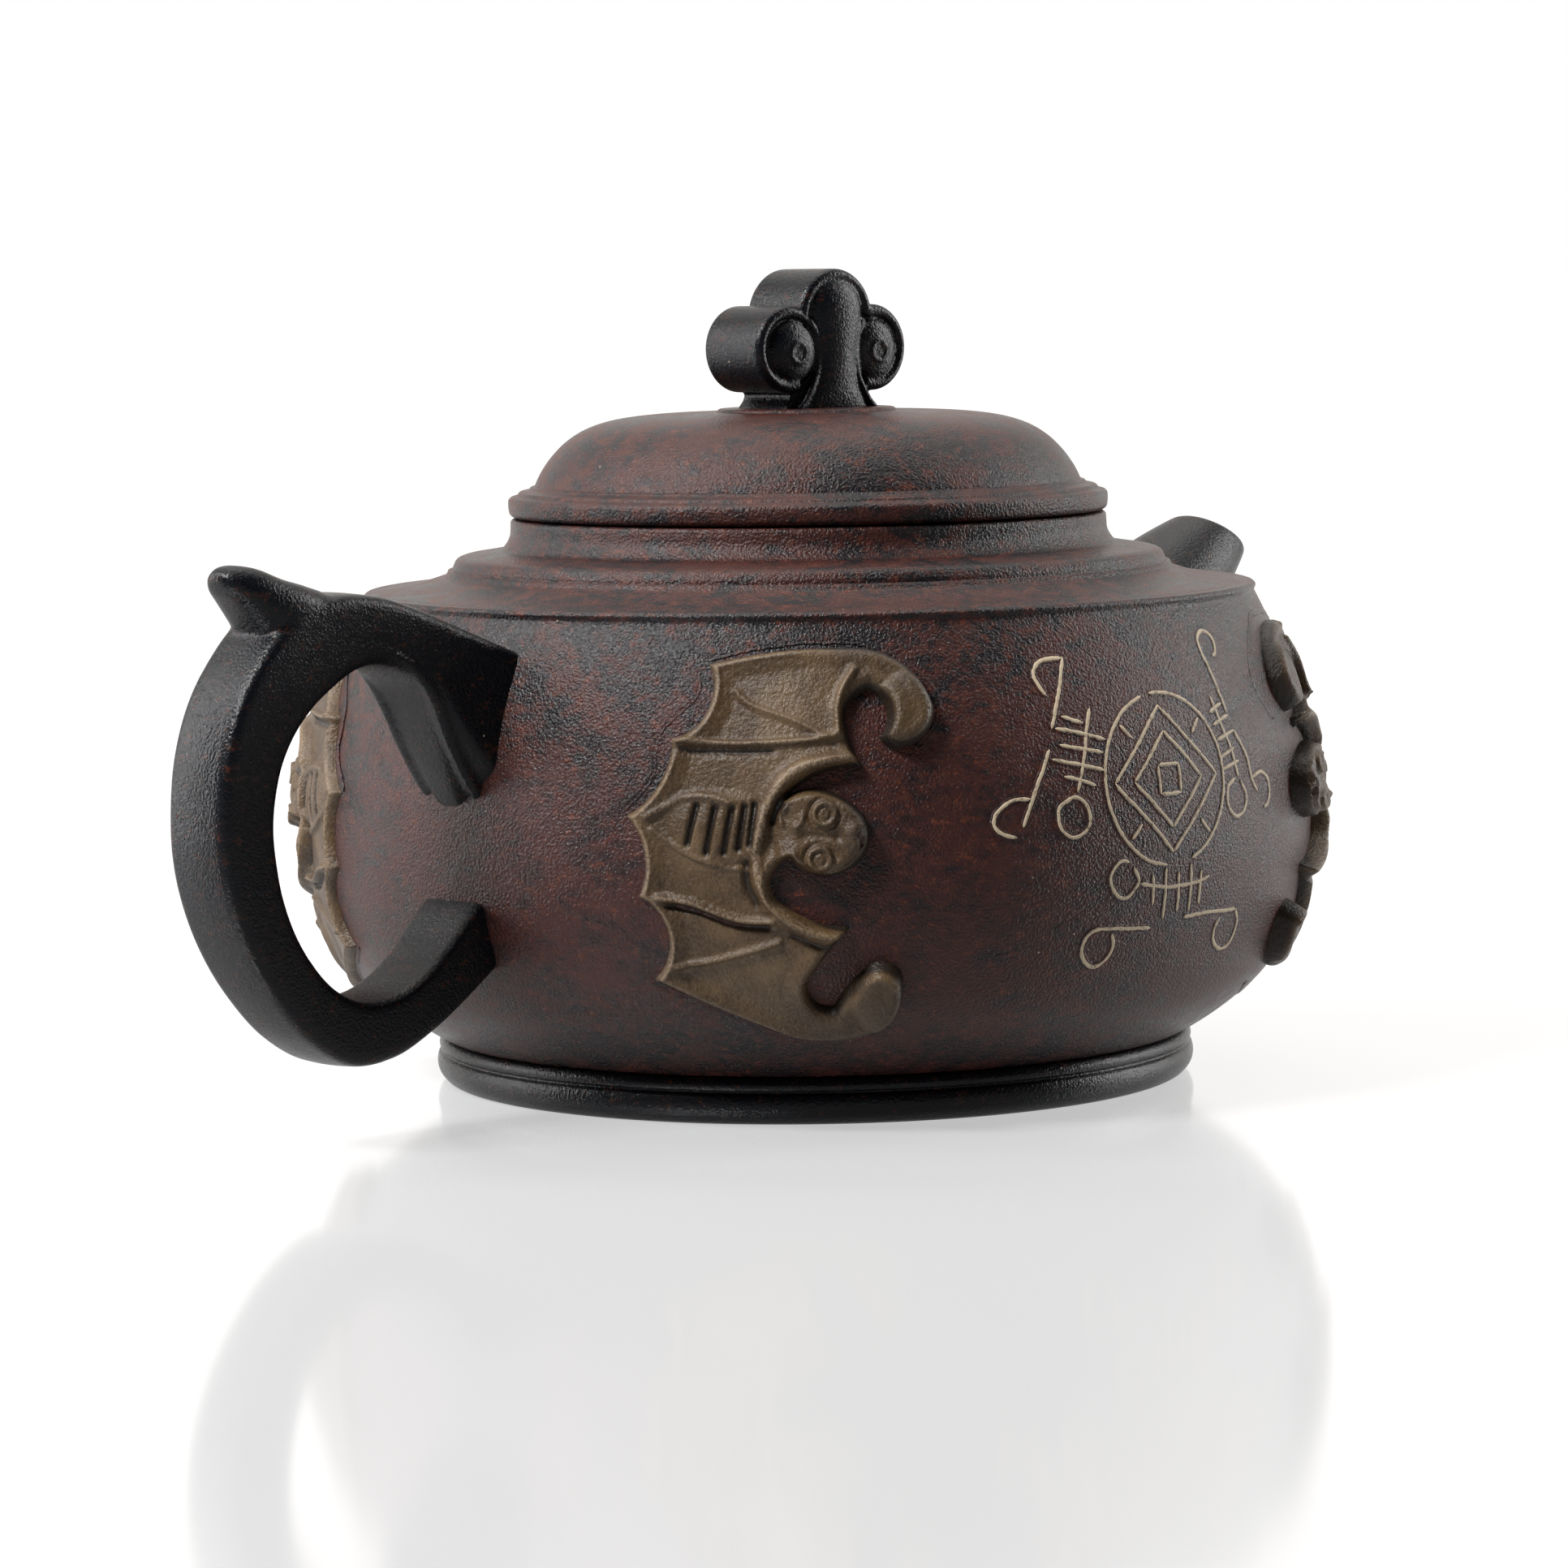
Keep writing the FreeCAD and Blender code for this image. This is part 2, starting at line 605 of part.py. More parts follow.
def swirl_lines(side):
    """One group of lines outside the ring, drawn below it: a comb, a loop and two hooked canes. A side of
    -1 draws its mirror image."""
    width = SIZES["slip_width"]
    comb_teeth = ((-3.3, 3.4), (-1.5, 4.8), (0.2, 4.0), (1.9, 5.0), (3.5, 3.8))
    lines = [bar((-4.8 * side, -10.9), (4.8 * side, -10.9), width)]
    for across, length in comb_teeth:
        lines.append(bar((across * side, -9.6), (across * side, -9.6 - length), width))
    lines.append(hoop((-7.0 * side, -9.9), 1.75, width))
    lines.append(bar((-1.2 * side, -15.2), (-9.9 * side, -15.2), width))
    lines.append(hoop((-9.3 * side, -17.0), 1.9, width))
    lines.append(bar((1.9 * side, -14.8), (11.4 * side, -14.8), width))
    lines.append(hoop((10.0 * side, -16.7), 1.9, width))
    return lines


def slip_inlay(name, lines):
    """Pale slip filling incised lines: the lines carried out to a thin shell at the wall's face."""
    shell = drum(SIZES["slip_proud"]).cut(drum(-SIZES["slip_depth"]))
    prisms = [outward_prism(line) for line in lines]
    carried = prisms[0].multiFuse(prisms[1:]).removeSplitter()
    return shape_piece(name, facing(FRONT_EMBLEM, SIZES["emblem_height"], carried).common(shell))


def mirrored(name, source):
    """The piece at the back that is the mirror image of one at the front."""
    copy = document.addObject("Part::Mirroring", name)
    copy.Label = name
    copy.Source = source
    copy.Base = Vector(0, 0, 0)
    copy.Normal = Vector(0, 1, 0)
    return copy


def all_swirls():
    """The group of lines three times round the ring: below it, to its right, and mirrored to its left."""
    drawn = []
    for angle, side in ((7.0, 1), (110.0, 1), (-110.0, -1)):
        for line in swirl_lines(side):
            line.rotate(Vector(0, 0, 0), Vector(0, -1, 0), angle)
            drawn.append(line)
    return drawn


# The spout's axis from inside the wall to its mouth: across, up, tilt in degrees, outer and bore radius
SPOUT_STATIONS = (
    (46.0, 30.5, 45, 13.0, 9.6),
    (53.0, 40.0, 52, 10.8, 7.6),
    (59.0, 48.8, 58, 8.3, 5.5),
    (64.3, 53.2, 58, 6.5, 4.3),
    (69.4, 56.3, 56, 4.8, 3.6),
)


def spout():
    """A short tapering spout that leans up and outwards, open at the wall and at its mouth."""
    outside, bore = [], []
    for across, up, tilt, radius, bore_radius in SPOUT_STATIONS:
        along = Vector(math.cos(math.radians(tilt)), 0, math.sin(math.radians(tilt)))
        centre = Vector(across, 0, up)
        outside.append(Part.Wire(Part.Circle(centre, along, radius).toShape()))
        bore.append(Part.Wire(Part.Circle(centre, along, bore_radius).toShape()))
    solid = Part.makeLoft(outside, True, False)
    return shape_piece("spout", solid.cut(drum(0)).cut(Part.makeLoft(bore, True, False)))


def spout_hole():
    """The round hole through the wall behind the spout."""
    start = Vector(SIZES["wall_radius"] * 0.7, 0, SIZES["spout_hole_height"])
    return Part.makeCylinder(SIZES["spout_hole_radius"], SIZES["wall_radius"], start, Vector(1, 0, 0))


def strainer(wall_shape):
    """The plug of wall left in that hole, pierced by a ring of holes round a middle one."""
    plug = spout_hole().common(wall_shape)
    centre = Vector(SIZES["wall_radius"] * 0.7, 0, SIZES["spout_hole_height"])
    holes = []
    for ring, count in ((0, 1), (1, 6)):
        for number in range(count):
            angle = 2 * math.pi * number / count
            out = SIZES["strainer_pitch"] * ring
            place = centre + Vector(0, out * math.cos(angle), out * math.sin(angle))
            holes.append(Part.makeCylinder(
                SIZES["strainer_hole_radius"], SIZES["wall_radius"], place, Vector(1, 0, 0)))
    return shape_piece("strainer", plug.cut(Part.makeCompound(holes)))


# The handle's middle line, from its upper root in the wall round to its lower one: distance from the
# axis, height, and thickness and width as shares of the handle's own
HANDLE_STATIONS = (
    (49.5, 43.0, 1.90, 1.60),
    (55.5, 47.3, 1.52, 1.36),
    (62.0, 51.3, 1.12, 1.08),
    (69.0, 52.6, 1.00, 1.00),
    (76.2, 51.0, 1.00, 1.00),
    (82.0, 46.6, 1.00, 1.00),
    (85.3, 41.0, 1.00, 1.00),
    (86.2, 35.0, 1.00, 1.00),
    (85.7, 29.2, 1.00, 1.00),
    (83.8, 24.0, 1.00, 1.00),
    (80.6, 19.0, 1.00, 1.00),
    (76.0, 14.9, 1.00, 1.00),
    (71.0, 12.3, 1.00, 1.00),
    (65.0, 13.1, 1.00, 1.00),
    (59.2, 16.4, 1.00, 1.00),
    (54.0, 20.2, 1.04, 1.00),
    (49.0, 23.2, 1.08, 1.02),
)
SECTION_POINTS = 16
SECTION_SQUARENESS = 3.0


def squircle(centre, across, up, half_across, half_up):
    """A closed smooth section between a circle and a square, across and up being its two directions."""
    points = []
    for number in range(SECTION_POINTS):
        angle = 2 * math.pi * number / SECTION_POINTS
        share = 2 / SECTION_SQUARENESS
        side = math.copysign(abs(math.cos(angle)) ** share, math.cos(angle))
        rise = math.copysign(abs(math.sin(angle)) ** share, math.sin(angle))
        points.append(centre + across * (side * half_across) + up * (rise * half_up))
    curve = Part.BSplineCurve()
    curve.interpolate(Points=points, PeriodicFlag=True)
    return Part.Wire(curve.toShape())


def handle_solid():
    """The loop swept through its stations, from root to root inside the wall."""
    centres = [Vector(-reach, 0, up) for reach, up, thick, wide in HANDLE_STATIONS]
    sections = []
    for number, (reach, up, thick, wide) in enumerate(HANDLE_STATIONS):
        before = centres[max(number - 1, 0)]
        after = centres[min(number + 1, len(centres) - 1)]
        along = (after - before).normalize()
        outward = Vector(0, 1, 0).cross(along)
        half_width = SIZES["handle_width"] * wide / 2
        half_thickness = SIZES["handle_thickness"] * thick / 2
        sections.append(squircle(centres[number], Vector(0, 1, 0), outward, half_width, half_thickness))
    return Part.makeLoft(sections, True, False)


# The thumb rest's middle line: distance from the axis, height, half thickness, share of its width
SPUR_STATIONS = (
    (76.5, 51.0, 5.2, 1.0),
    (79.6, 54.4, 4.6, 1.0),
    (82.2, 57.2, 3.3, 0.86),
    (84.0, 59.2, 1.7, 0.52),
)


def handle_spur_solid():
    """A horn-like lobe that leans up and outwards from the handle's shoulder."""
    along = Vector(-1.0, 0, 1.05).normalize()
    outward = Vector(0, 1, 0).cross(along)
    sections = [
        squircle(Vector(-reach, 0, up), Vector(0, 1, 0), outward, SIZES["spur_width"] * wide / 2, half)
        for reach, up, half, wide in SPUR_STATIONS
    ]
    return Part.makeLoft(sections, True, False)


def check(pieces):
    """Stop if any object failed or any piece has no sound shape."""
    for item in document.Objects:
        if any(word in ("Invalid", "Error") for word in item.State):
            raise RuntimeError(f"{item.Name} failed: {item.State}")
    for piece in pieces:
        if piece.Shape.isNull() or not piece.Shape.isValid() or not piece.Shape.Solids:
            raise RuntimeError(f"{piece.Label} has no sound shape")


def main():
    make_sheet()
    pieces = [
        foot_ring(),
        base_disc(),
        shoulder_disc(),
        shoulder_step(),
        neck_ring(),
        lid_flange(),
        lid_rim(),
        lid_dome(),
        knob_pad(),
        knob(),
        knob_scrolls("knob_scrolls_front", -1),
        knob_scrolls("knob_scrolls_back", 1),
        spout(),
    ]
    ring = body_wall_ring()
    document.recompute()
    emblem = slip_inlay("emblem_front", emblem_lines())
    swirls = slip_inlay("swirls_front", all_swirls())
    inlays = [emblem, swirls, mirrored("emblem_back", emblem), mirrored("swirls_back", swirls)]
    document.recompute()
    wall = ring.Shape.cut(spout_hole()).cut(Part.makeCompound([inlay.Shape for inlay in inlays]))
    pieces.append(shape_piece("body_wall", wall))
    pieces.append(strainer(ring.Shape))
    pieces.extend(inlays)
    loop = handle_solid().cut(drum(0))
    pieces.append(shape_piece("handle", max(loop.Solids, key=lambda solid: solid.Volume)))
    pieces.append(shape_piece("handle_spur", handle_spur_solid().cut(handle_solid())))
    handle_side_bat = bat("bat_front_handle_side", FRONT_HANDLE_SIDE_BAT, 1)
    spout_side_bat = bat("bat_front_spout_side", FRONT_SPOUT_SIDE_BAT, -1, curl_reach=-4.5, head_reach=2.5)
    pieces.extend([handle_side_bat, spout_side_bat])
    pieces.append(mirrored("bat_back_handle_side", handle_side_bat))
    pieces.append(mirrored("bat_back_spout_side", spout_side_bat))
    document.recompute()
    check(pieces)
    os.makedirs("parts", exist_ok=True)
    for piece in pieces:
        piece.Shape.exportStep(f"parts/{piece.Label}.step")
        print(f"{piece.Label}: {piece.Shape.Volume:.1f} mm3, {len(piece.Shape.Solids)} solids")


main()
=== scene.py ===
import math

import bpy
import numpy as np
from mathutils import Matrix, Vector

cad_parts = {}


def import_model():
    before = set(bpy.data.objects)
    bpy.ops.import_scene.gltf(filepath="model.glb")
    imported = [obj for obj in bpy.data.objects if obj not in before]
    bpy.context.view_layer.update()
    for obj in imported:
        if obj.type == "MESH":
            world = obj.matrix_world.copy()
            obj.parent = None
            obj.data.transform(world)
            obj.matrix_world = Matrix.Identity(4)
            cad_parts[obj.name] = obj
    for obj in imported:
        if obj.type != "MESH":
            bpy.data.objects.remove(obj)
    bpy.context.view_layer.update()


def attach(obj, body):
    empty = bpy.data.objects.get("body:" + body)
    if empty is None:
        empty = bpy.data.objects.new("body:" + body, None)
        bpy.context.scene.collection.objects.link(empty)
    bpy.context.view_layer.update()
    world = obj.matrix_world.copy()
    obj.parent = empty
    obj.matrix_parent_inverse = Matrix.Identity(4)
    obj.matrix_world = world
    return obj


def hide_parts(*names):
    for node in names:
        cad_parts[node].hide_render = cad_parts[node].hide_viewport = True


# The looks of a yixing clay teapot. Shapes are worked out in millimetres in the frame of the packed
# model: the pot stands round the Z axis, its spout towards +X, its handle towards -X, its front towards -Y.

MM = 0.001
FRONT_EMBLEM = math.radians(266.0)
EMBLEM_HEIGHT = 35.7
HANDLE_SIDE_BAT = math.radians(220.0)
SPOUT_SIDE_BAT = math.radians(304.5)
BAT_HEIGHT = 32.0
LID_TURN = math.radians(-5.0)


# ---------------------------------------------------------------- meshes


def make_mesh(name, points, faces):
    """A mesh object from points in millimetres and faces as lists of point numbers."""
    mesh = bpy.data.meshes.new(name)
    mesh.from_pydata((np.asarray(points) * MM).tolist(), [], [list(map(int, face)) for face in faces])
    mesh.validate()
    mesh.polygons.foreach_set("use_smooth", [True] * len(mesh.polygons))
    thing = bpy.data.objects.new(name, mesh)
    bpy.context.scene.collection.objects.link(thing)
    return thing


def place(thing, body, slot, material, *nodes):
    """Give a piece its material, the body it moves with and the nodes it stands for; its record slot is not
    used.
    """
    thing.data.materials.append(material)
    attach(thing, body)
    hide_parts(*nodes)
    return thing


def evaluated_copy(thing, name):
    """A plain mesh object of what a piece looks like with its modifiers, in place of the piece."""
    graph = bpy.context.evaluated_depsgraph_get()
    mesh = bpy.data.meshes.new_from_object(thing.evaluated_get(graph))
    mesh.name = name
    bpy.data.objects.remove(thing)
    made = bpy.data.objects.new(name, mesh)
    bpy.context.scene.collection.objects.link(made)
    mesh.polygons.foreach_set("use_smooth", [True] * len(mesh.polygons))
    return made


def melt_together(name, parts, voxel, smoothing):
    """Clay lumps worked into one another: their union, remeshed and smoothed."""
    bpy.ops.object.select_all(action="DESELECT")
    for part in parts:
        part.select_set(True)
    bpy.context.view_layer.objects.active = parts[0]
    bpy.ops.object.join()
    lump = parts[0]
    remesh = lump.modifiers.new("remesh", "REMESH")
    remesh.mode = "VOXEL"
    remesh.voxel_size = voxel * MM
    smooth = lump.modifiers.new("smooth", "SMOOTH")
    smooth.factor = 0.5
    smooth.iterations = smoothing
    return evaluated_copy(lump, name)


def grid_faces(rows, columns, wrap=False):
    """Quads between rows of points; wrap joins each row's last point to its first."""
    across = columns if wrap else columns - 1
    row, column = np.meshgrid(np.arange(rows - 1), np.arange(across), indexing="ij")
    here = row * columns + column
    beside = row * columns + (column + 1) % columns
    return np.stack([here, beside, beside + columns, here + columns], axis=-1).reshape(-1, 4)


def closed_ring(name, points, rows, around):
    """A mesh of rows of points, each a circle, whose last row is joined to its first."""
    faces = grid_faces(rows, around, wrap=True).tolist()
    last = (rows - 1) * around
    for number in range(around):
        following = (number + 1) % around
        faces.append([last + number, last + following, following, number])
    return make_mesh(name, points, faces)


def capped_tube(name, points, rows, around, ends):
    """A mesh of rows of points, each a circle, closed by a fan round a middle point at each end."""
    faces = grid_faces(rows, around, wrap=True).tolist()
    last = (rows - 1) * around
    for number in range(around):
        following = (number + 1) % around
        faces.append([following, number, len(points)])
        faces.append([last + number, last + following, len(points) + 1])
    return make_mesh(name, np.vstack([points, ends]), faces)


def arc_points(start, end, radius, step):
    """Points after start up to end on an arc that bulges right of travel, or left if radius is negative."""
    start, end = np.array(start, float), np.array(end, float)
    chord = end - start
    length = np.hypot(*chord)
    left = np.array([-chord[1], chord[0]]) / length
    centre = (start + end) / 2 + left * math.copysign(math.sqrt(radius**2 - length**2 / 4), radius)
    first = math.atan2(*(start - centre)[::-1])
    last = math.atan2(*(end - centre)[::-1])
    turn = (last - first + math.pi) % (2 * math.pi) - math.pi
    count = max(2, int(abs(turn * radius) / step) + 1)
    angles = first + turn * np.arange(1, count + 1) / count
    return [centre + abs(radius) * np.array([math.cos(angle), math.sin(angle)]) for angle in angles]


def profile(corners, step=0.5):
    """A dense line through corners of (radius, height) or (radius, height, arc radius)."""
    points = [np.array(corners[0][:2], float)]
    for corner in corners[1:]:
        if len(corner) == 3:
            points.extend(arc_points(points[-1], corner[:2], corner[2], step))
            continue
        start, end = points[-1], np.array(corner, float)
        count = max(1, int(np.hypot(*(end - start)) / (2 * step)) + 1)
        points.extend(start + (end - start) * number / count for number in range(1, count + 1))
    return np.array(points)


def spline(points, count):
    """A smooth line of count points through the given points, which may have any number of columns."""
    points = np.asarray(points, float)
    padded = np.vstack([2 * points[0] - points[1], points, 2 * points[-1] - points[-2]])
    places = np.linspace(0, len(points) - 1 - 1e-9, count)
    base = places.astype(int)
    share = (places - base)[:, None]
    a, b, c, d = (padded[base + shift] for shift in range(4))
    return 0.5 * (
        2 * b + (c - a) * share + (2 * a - 5 * b + 4 * c - d) * share**2 + (3 * b - a - 3 * c + d) * share**3
    )


def hand_wobble(angle, height):
    """How far hand-turned clay strays from a true circle, in millimetres."""
    slow = 0.05 * np.sin(2 * angle + 0.6) + 0.035 * np.sin(3 * angle + height / 14)
    quick = 0.012 * np.sin(11 * angle + height / 5) + 0.008 * np.sin(23 * angle - height / 3)
    return slow + quick


def turned(name, outline, segments=300, wobble=1.0):
    """A closed ring of revolution from a closed outline, or a cap where the outline meets the axis."""
    angles = np.linspace(0, 2 * math.pi, segments, endpoint=False)
    on_axis = outline[:, 0] < 1e-6
    rim = outline[~on_axis]
    radius = rim[:, 0][:, None] + wobble * hand_wobble(angles[None, :], rim[:, 1][:, None])
    height = np.broadcast_to(rim[:, 1][:, None], radius.shape)
    points = np.stack([radius * np.cos(angles), radius * np.sin(angles), height], axis=-1).reshape(-1, 3)
    if not on_axis.any():
        return closed_ring(name, points, len(rim), segments)
    ends = [[0, 0, outline[0, 1]], [0, 0, outline[-1, 1]]]
    return capped_tube(name, points, len(rim), segments, ends)


# ---------------------------------------------------------------- the turned pieces

WALL_OUTSIDE = profile([
    (41.4, 5.2),
    (48.9, 10.5, 35.0),
    (52.0, 14.6, 14.8),
    (55.25, 29.0, 33.6),
    (53.5, 42.0, 49.2),
    (49.05, 53.1, 60.5),
])


def wall_radius(height):
    """The wall's outer radius at a height."""
    return np.interp(height, WALL_OUTSIDE[:, 1], WALL_OUTSIDE[:, 0])


def on_wall(direction, across, height, proud):
    """Points on the wall: across is measured flat to the right of a direction, proud along the normal."""
    across, height, proud = np.broadcast_arrays(across, height, proud)
    radius = wall_radius(height)
    angle = direction + np.arcsin(across / radius)
    slope = (wall_radius(height + 0.2) - wall_radius(height - 0.2)) / 0.4
    lean = 1 / np.sqrt(1 + slope**2)
    radius = radius + proud * lean + hand_wobble(angle, height)
    return np.stack([radius * np.cos(angle), radius * np.sin(angle), height - proud * slope * lean], axis=-1)


def wall(clay):
    """The beaten wall with its soft crease at the top."""
    inside = profile([
        (46.2, 53.9), (50.7, 42.0, -57.0), (52.4, 29.0, -46.0), (49.5, 15.8, -31.0), (47.3, 12.8, -12.0),
        (40.2, 8.2, -35.0), (38.4, 8.2), (38.4, 5.2), (41.4, 5.2),
    ])
    crease = profile([
        (49.05, 53.1), (49.2, 53.55, -1.5), (49.05, 53.95, 0.3), (48.7, 54.1, 0.35), (46.2, 54.1),
    ], 0.08)
    outline = np.vstack([WALL_OUTSIDE, crease[1:], inside[:-1]])
    return place(turned("wall", outline, 340), "pot", "red_brown_clay", clay, "body_wall")


def shoulder(clay):
    """The slightly hollow slope from the crease up to the step."""
    outline = profile([
        (28.6, 53.2), (46.0, 53.2), (48.2, 53.6), (48.5, 53.95), (47.4, 54.22), (43.6, 54.8, -60.0),
        (40.9, 55.6, -25.0), (39.9, 56.4, -1.0), (38.0, 56.4), (28.6, 56.4), (28.6, 53.7),
    ], 0.4)
    return place(turned("shoulder", outline), "pot", "red_brown_clay", clay, "shoulder_disc")


def step_and_neck(clay):
    """The raised step with its rounded lip, and the collar that carries the lid."""
    outline = profile([
        (28.6, 56.0), (39.7, 56.0), (39.35, 56.5, -0.8), (39.2, 57.1, 0.8), (38.4, 57.85, 1.0),
        (37.8, 57.98, 1.2), (34.6, 58.5), (33.6, 59.0, -1.1), (32.95, 60.3, -3.0), (32.9, 61.5),
        (32.45, 61.95, 0.45), (28.9, 61.98), (28.6, 61.6, 0.4), (28.6, 57.0),
    ], 0.3)
    return place(turned("step_and_neck", outline), "pot", "red_brown_clay", clay,
                 "shoulder_step", "neck_ring")


def foot(clay):
    """The rounded foot ring, grooved round its middle."""
    outline = profile([
        (36.4, 1.4), (37.6, 0.0), (40.2, 0.0), (41.3, 0.55, 1.5), (42.0, 1.9, 2.2), (41.8, 3.2, 2.2),
        (41.45, 3.55, -0.6), (41.75, 3.95, 0.5), (41.7, 4.5, 0.7), (41.0, 5.1, 1.0), (36.4, 5.35),
    ], 0.2)
    return place(turned("foot", outline, 360), "pot", "black_clay", clay, "foot_ring")


def floor_disc(clay):
    """The pot's flat floor."""
    outline = np.array([(0, 8.2), (38.6, 8.2), (38.6, 5.3), (38.3, 5.2), (0, 5.2)], float)[::-1]
    return place(turned("floor_disc", outline, 180, 0), "pot", "red_brown_clay", clay, "base_disc")


def flange(clay):
    """The ring under the lid."""
    outline = profile([
        (25.8, 54.15), (27.4, 54.15), (28.2, 54.95, 0.85), (28.2, 62.2), (25.8, 62.2), (25.8, 54.5),
    ])
    return place(turned("flange", outline), "lid_carrier", "red_brown_clay", clay, "lid_flange")


def lid_seat(clay):
    """The lid's rim: a rounded bead, a fine line and a low ledge."""
    outline = profile([
        (25.8, 62.15), (32.4, 62.15), (33.05, 62.8, 0.7), (33.1, 63.8, 4.0), (32.75, 64.35, 0.6),
        (32.2, 64.5), (32.0, 64.68, -0.3), (31.6, 64.95, 0.4), (31.0, 65.1), (30.6, 65.4, -0.6),
        (30.3, 65.5), (25.8, 65.5), (25.8, 62.5),
    ], 0.15)
    return place(turned("lid_seat", outline, 360), "lid", "red_brown_clay", clay, "lid_rim")


def dome(clay):
    """The lid's domed top and the pad under its knob."""
    outside = spline([
        (30.2, 65.35), (29.9, 66.1), (29.25, 67.3), (28.15, 68.8), (26.5, 70.4), (24.3, 71.7),
        (21.3, 72.6), (17.2, 73.1), (12.0, 73.28), (9.95, 73.3),
    ], 90)
    pad = profile([(9.95, 73.3), (9.75, 73.6, 0.3), (9.5, 73.7, 0.4), (0.0, 73.75)], 0.2)
    inside = spline([(0.0, 70.7), (10.0, 70.6), (18.0, 70.2), (23.0, 68.8), (25.6, 66.0), (25.8, 64.95)], 30)
    outline = np.vstack([inside, outside, pad[1:]])
    return place(turned("dome", outline, 360), "lid", "red_brown_clay", clay, "lid_dome", "knob_pad")


# ---------------------------------------------------------------- handle and spout


def rounded_polygon(corners, roundings, steps=6):
    """Points round a polygon with each corner eased over its own distance."""
    corners = np.asarray(corners, float)
    points = []
    for number, corner in enumerate(corners):
        before = corners[number - 1] - corner
        after = corners[(number + 1) % len(corners)] - corner
        reach = min(roundings[number], 0.45 * np.hypot(*before), 0.45 * np.hypot(*after))
        start = corner + before / np.hypot(*before) * reach
        end = corner + after / np.hypot(*after) * reach
        for share in np.linspace(0, 1, steps):
            points.append((1 - share) ** 2 * start + 2 * share * (1 - share) * corner + share**2 * end)
    return np.array(points)


def sweep(name, rings):
    """A closed tube through rings of points, with its two ends capped."""
    rings = np.asarray(rings)
    ends = np.array([rings[0].mean(0), rings[-1].mean(0)])
    return capped_tube(name, rings.reshape(-1, 3), *rings.shape[:2], ends)


# Outer and inner edge of the loop at each station, from the upper root round to the lower one: distance
# from the axis and height of each, then half widths at the outer edge, at a middle line and at the inner
# edge, and how far out the middle line lies as a share of the depth. Round the loop only its edges change.
LOOP_EDGES = (
    (74.3, 56.7, 70.4, 49.4), (80.3, 54.4, 75.6, 46.8), (84.6, 50.2, 79.0, 43.9),
    (87.3, 46.0, 81.2, 40.6), (89.0, 41.0, 82.3, 37.2), (89.6, 36.0, 82.7, 33.9),
    (89.5, 31.2, 82.4, 30.6), (88.4, 26.4, 81.6, 26.9), (86.2, 21.4, 79.9, 22.9),
    (82.9, 16.6, 77.3, 19.3), (78.3, 12.0, 74.3, 16.7), (72.6, 9.0, 70.6, 15.3),
    (66.8, 9.2, 66.4, 15.6), (61.8, 11.2, 62.4, 17.4), (57.6, 13.6, 58.9, 20.2),
)
HANDLE = (
    (46.0, 48.2, 48.5, 28.3, 6.8, 6.9, 0.9, 0.30),
    (50.0, 49.8, 51.8, 30.6, 6.3, 6.5, 1.1, 0.29),
    (54.0, 51.5, 55.0, 34.0, 5.5, 6.0, 1.5, 0.25),
    (58.0, 53.2, 58.0, 39.4, 4.9, 5.4, 2.4, 0.22),
    (62.6, 55.0, 60.9, 45.4, 4.6, 4.9, 3.5, 0.25),
    (68.0, 56.5, 65.2, 48.9, 4.55, 4.6, 4.2, 0.40),
    *((*edges, 4.5, 4.5, 4.4, 0.5) for edges in LOOP_EDGES),
    (53.0, 16.7, 55.4, 23.5, 4.6, 4.6, 4.5, 0.5),
    (48.0, 20.0, 50.8, 26.6, 4.7, 4.7, 4.6, 0.5),
)
HANDLE_STEPS = 160


def handle_rings():
    """Sections of the loop: flat sides, a flat outer band, and a chamfer that opens towards the root."""
    rings = []
    for outer_x, outer_z, inner_x, inner_z, wide, middle, narrow, share in spline(HANDLE, HANDLE_STEPS):
        outer, inner = np.array([-outer_x, outer_z]), np.array([-inner_x, inner_z])
        depth = np.hypot(*(outer - inner))
        crown = 0.3
        corners = [
            (-wide, depth), (0.0, depth + crown), (wide, depth), (middle, depth * share), (narrow, 0.0),
            (0.0, -0.15), (-narrow, 0.0), (-middle, depth * share),
        ]
        section = rounded_polygon(corners, (1.3, 2.0, 1.3, 0.9, 1.0, 2.0, 1.0, 0.9))
        outward = (outer - inner) / depth
        across = section[:, 0]
        flat = inner + section[:, 1][:, None] * outward
        rings.append(np.stack([flat[:, 0], across, flat[:, 1]], axis=-1))
    return rings


def root_ridge(side):
    """The rounded fold of clay on the chamfer under the upper root."""
    line = []
    under_root = spline(HANDLE, HANDLE_STEPS)[8:44]
    for outer_x, outer_z, inner_x, inner_z, _, middle, narrow, share in under_root:
        along = 0.45 * share
        place_x = inner_x + (outer_x - inner_x) * along
        place_z = inner_z + (outer_z - inner_z) * along
        line.append((-place_x, side * (middle + narrow) * 0.49, place_z))
    return tube("fold", line, 0.8, fade=16)


# The thumb rest: its top edge and its underside edge at each station, then its half width
SPUR = (
    (69.5, 53.0, 77.0, 47.0, 4.2),
    (72.5, 56.7, 80.4, 51.0, 4.4),
    (75.8, 58.0, 82.6, 54.2, 4.3),
    (79.0, 58.9, 84.2, 56.2, 3.8),
    (81.8, 60.0, 85.6, 57.6, 3.0),
    (84.0, 60.4, 86.3, 58.8, 1.9),
    (85.4, 60.3, 86.3, 59.6, 0.8),
)


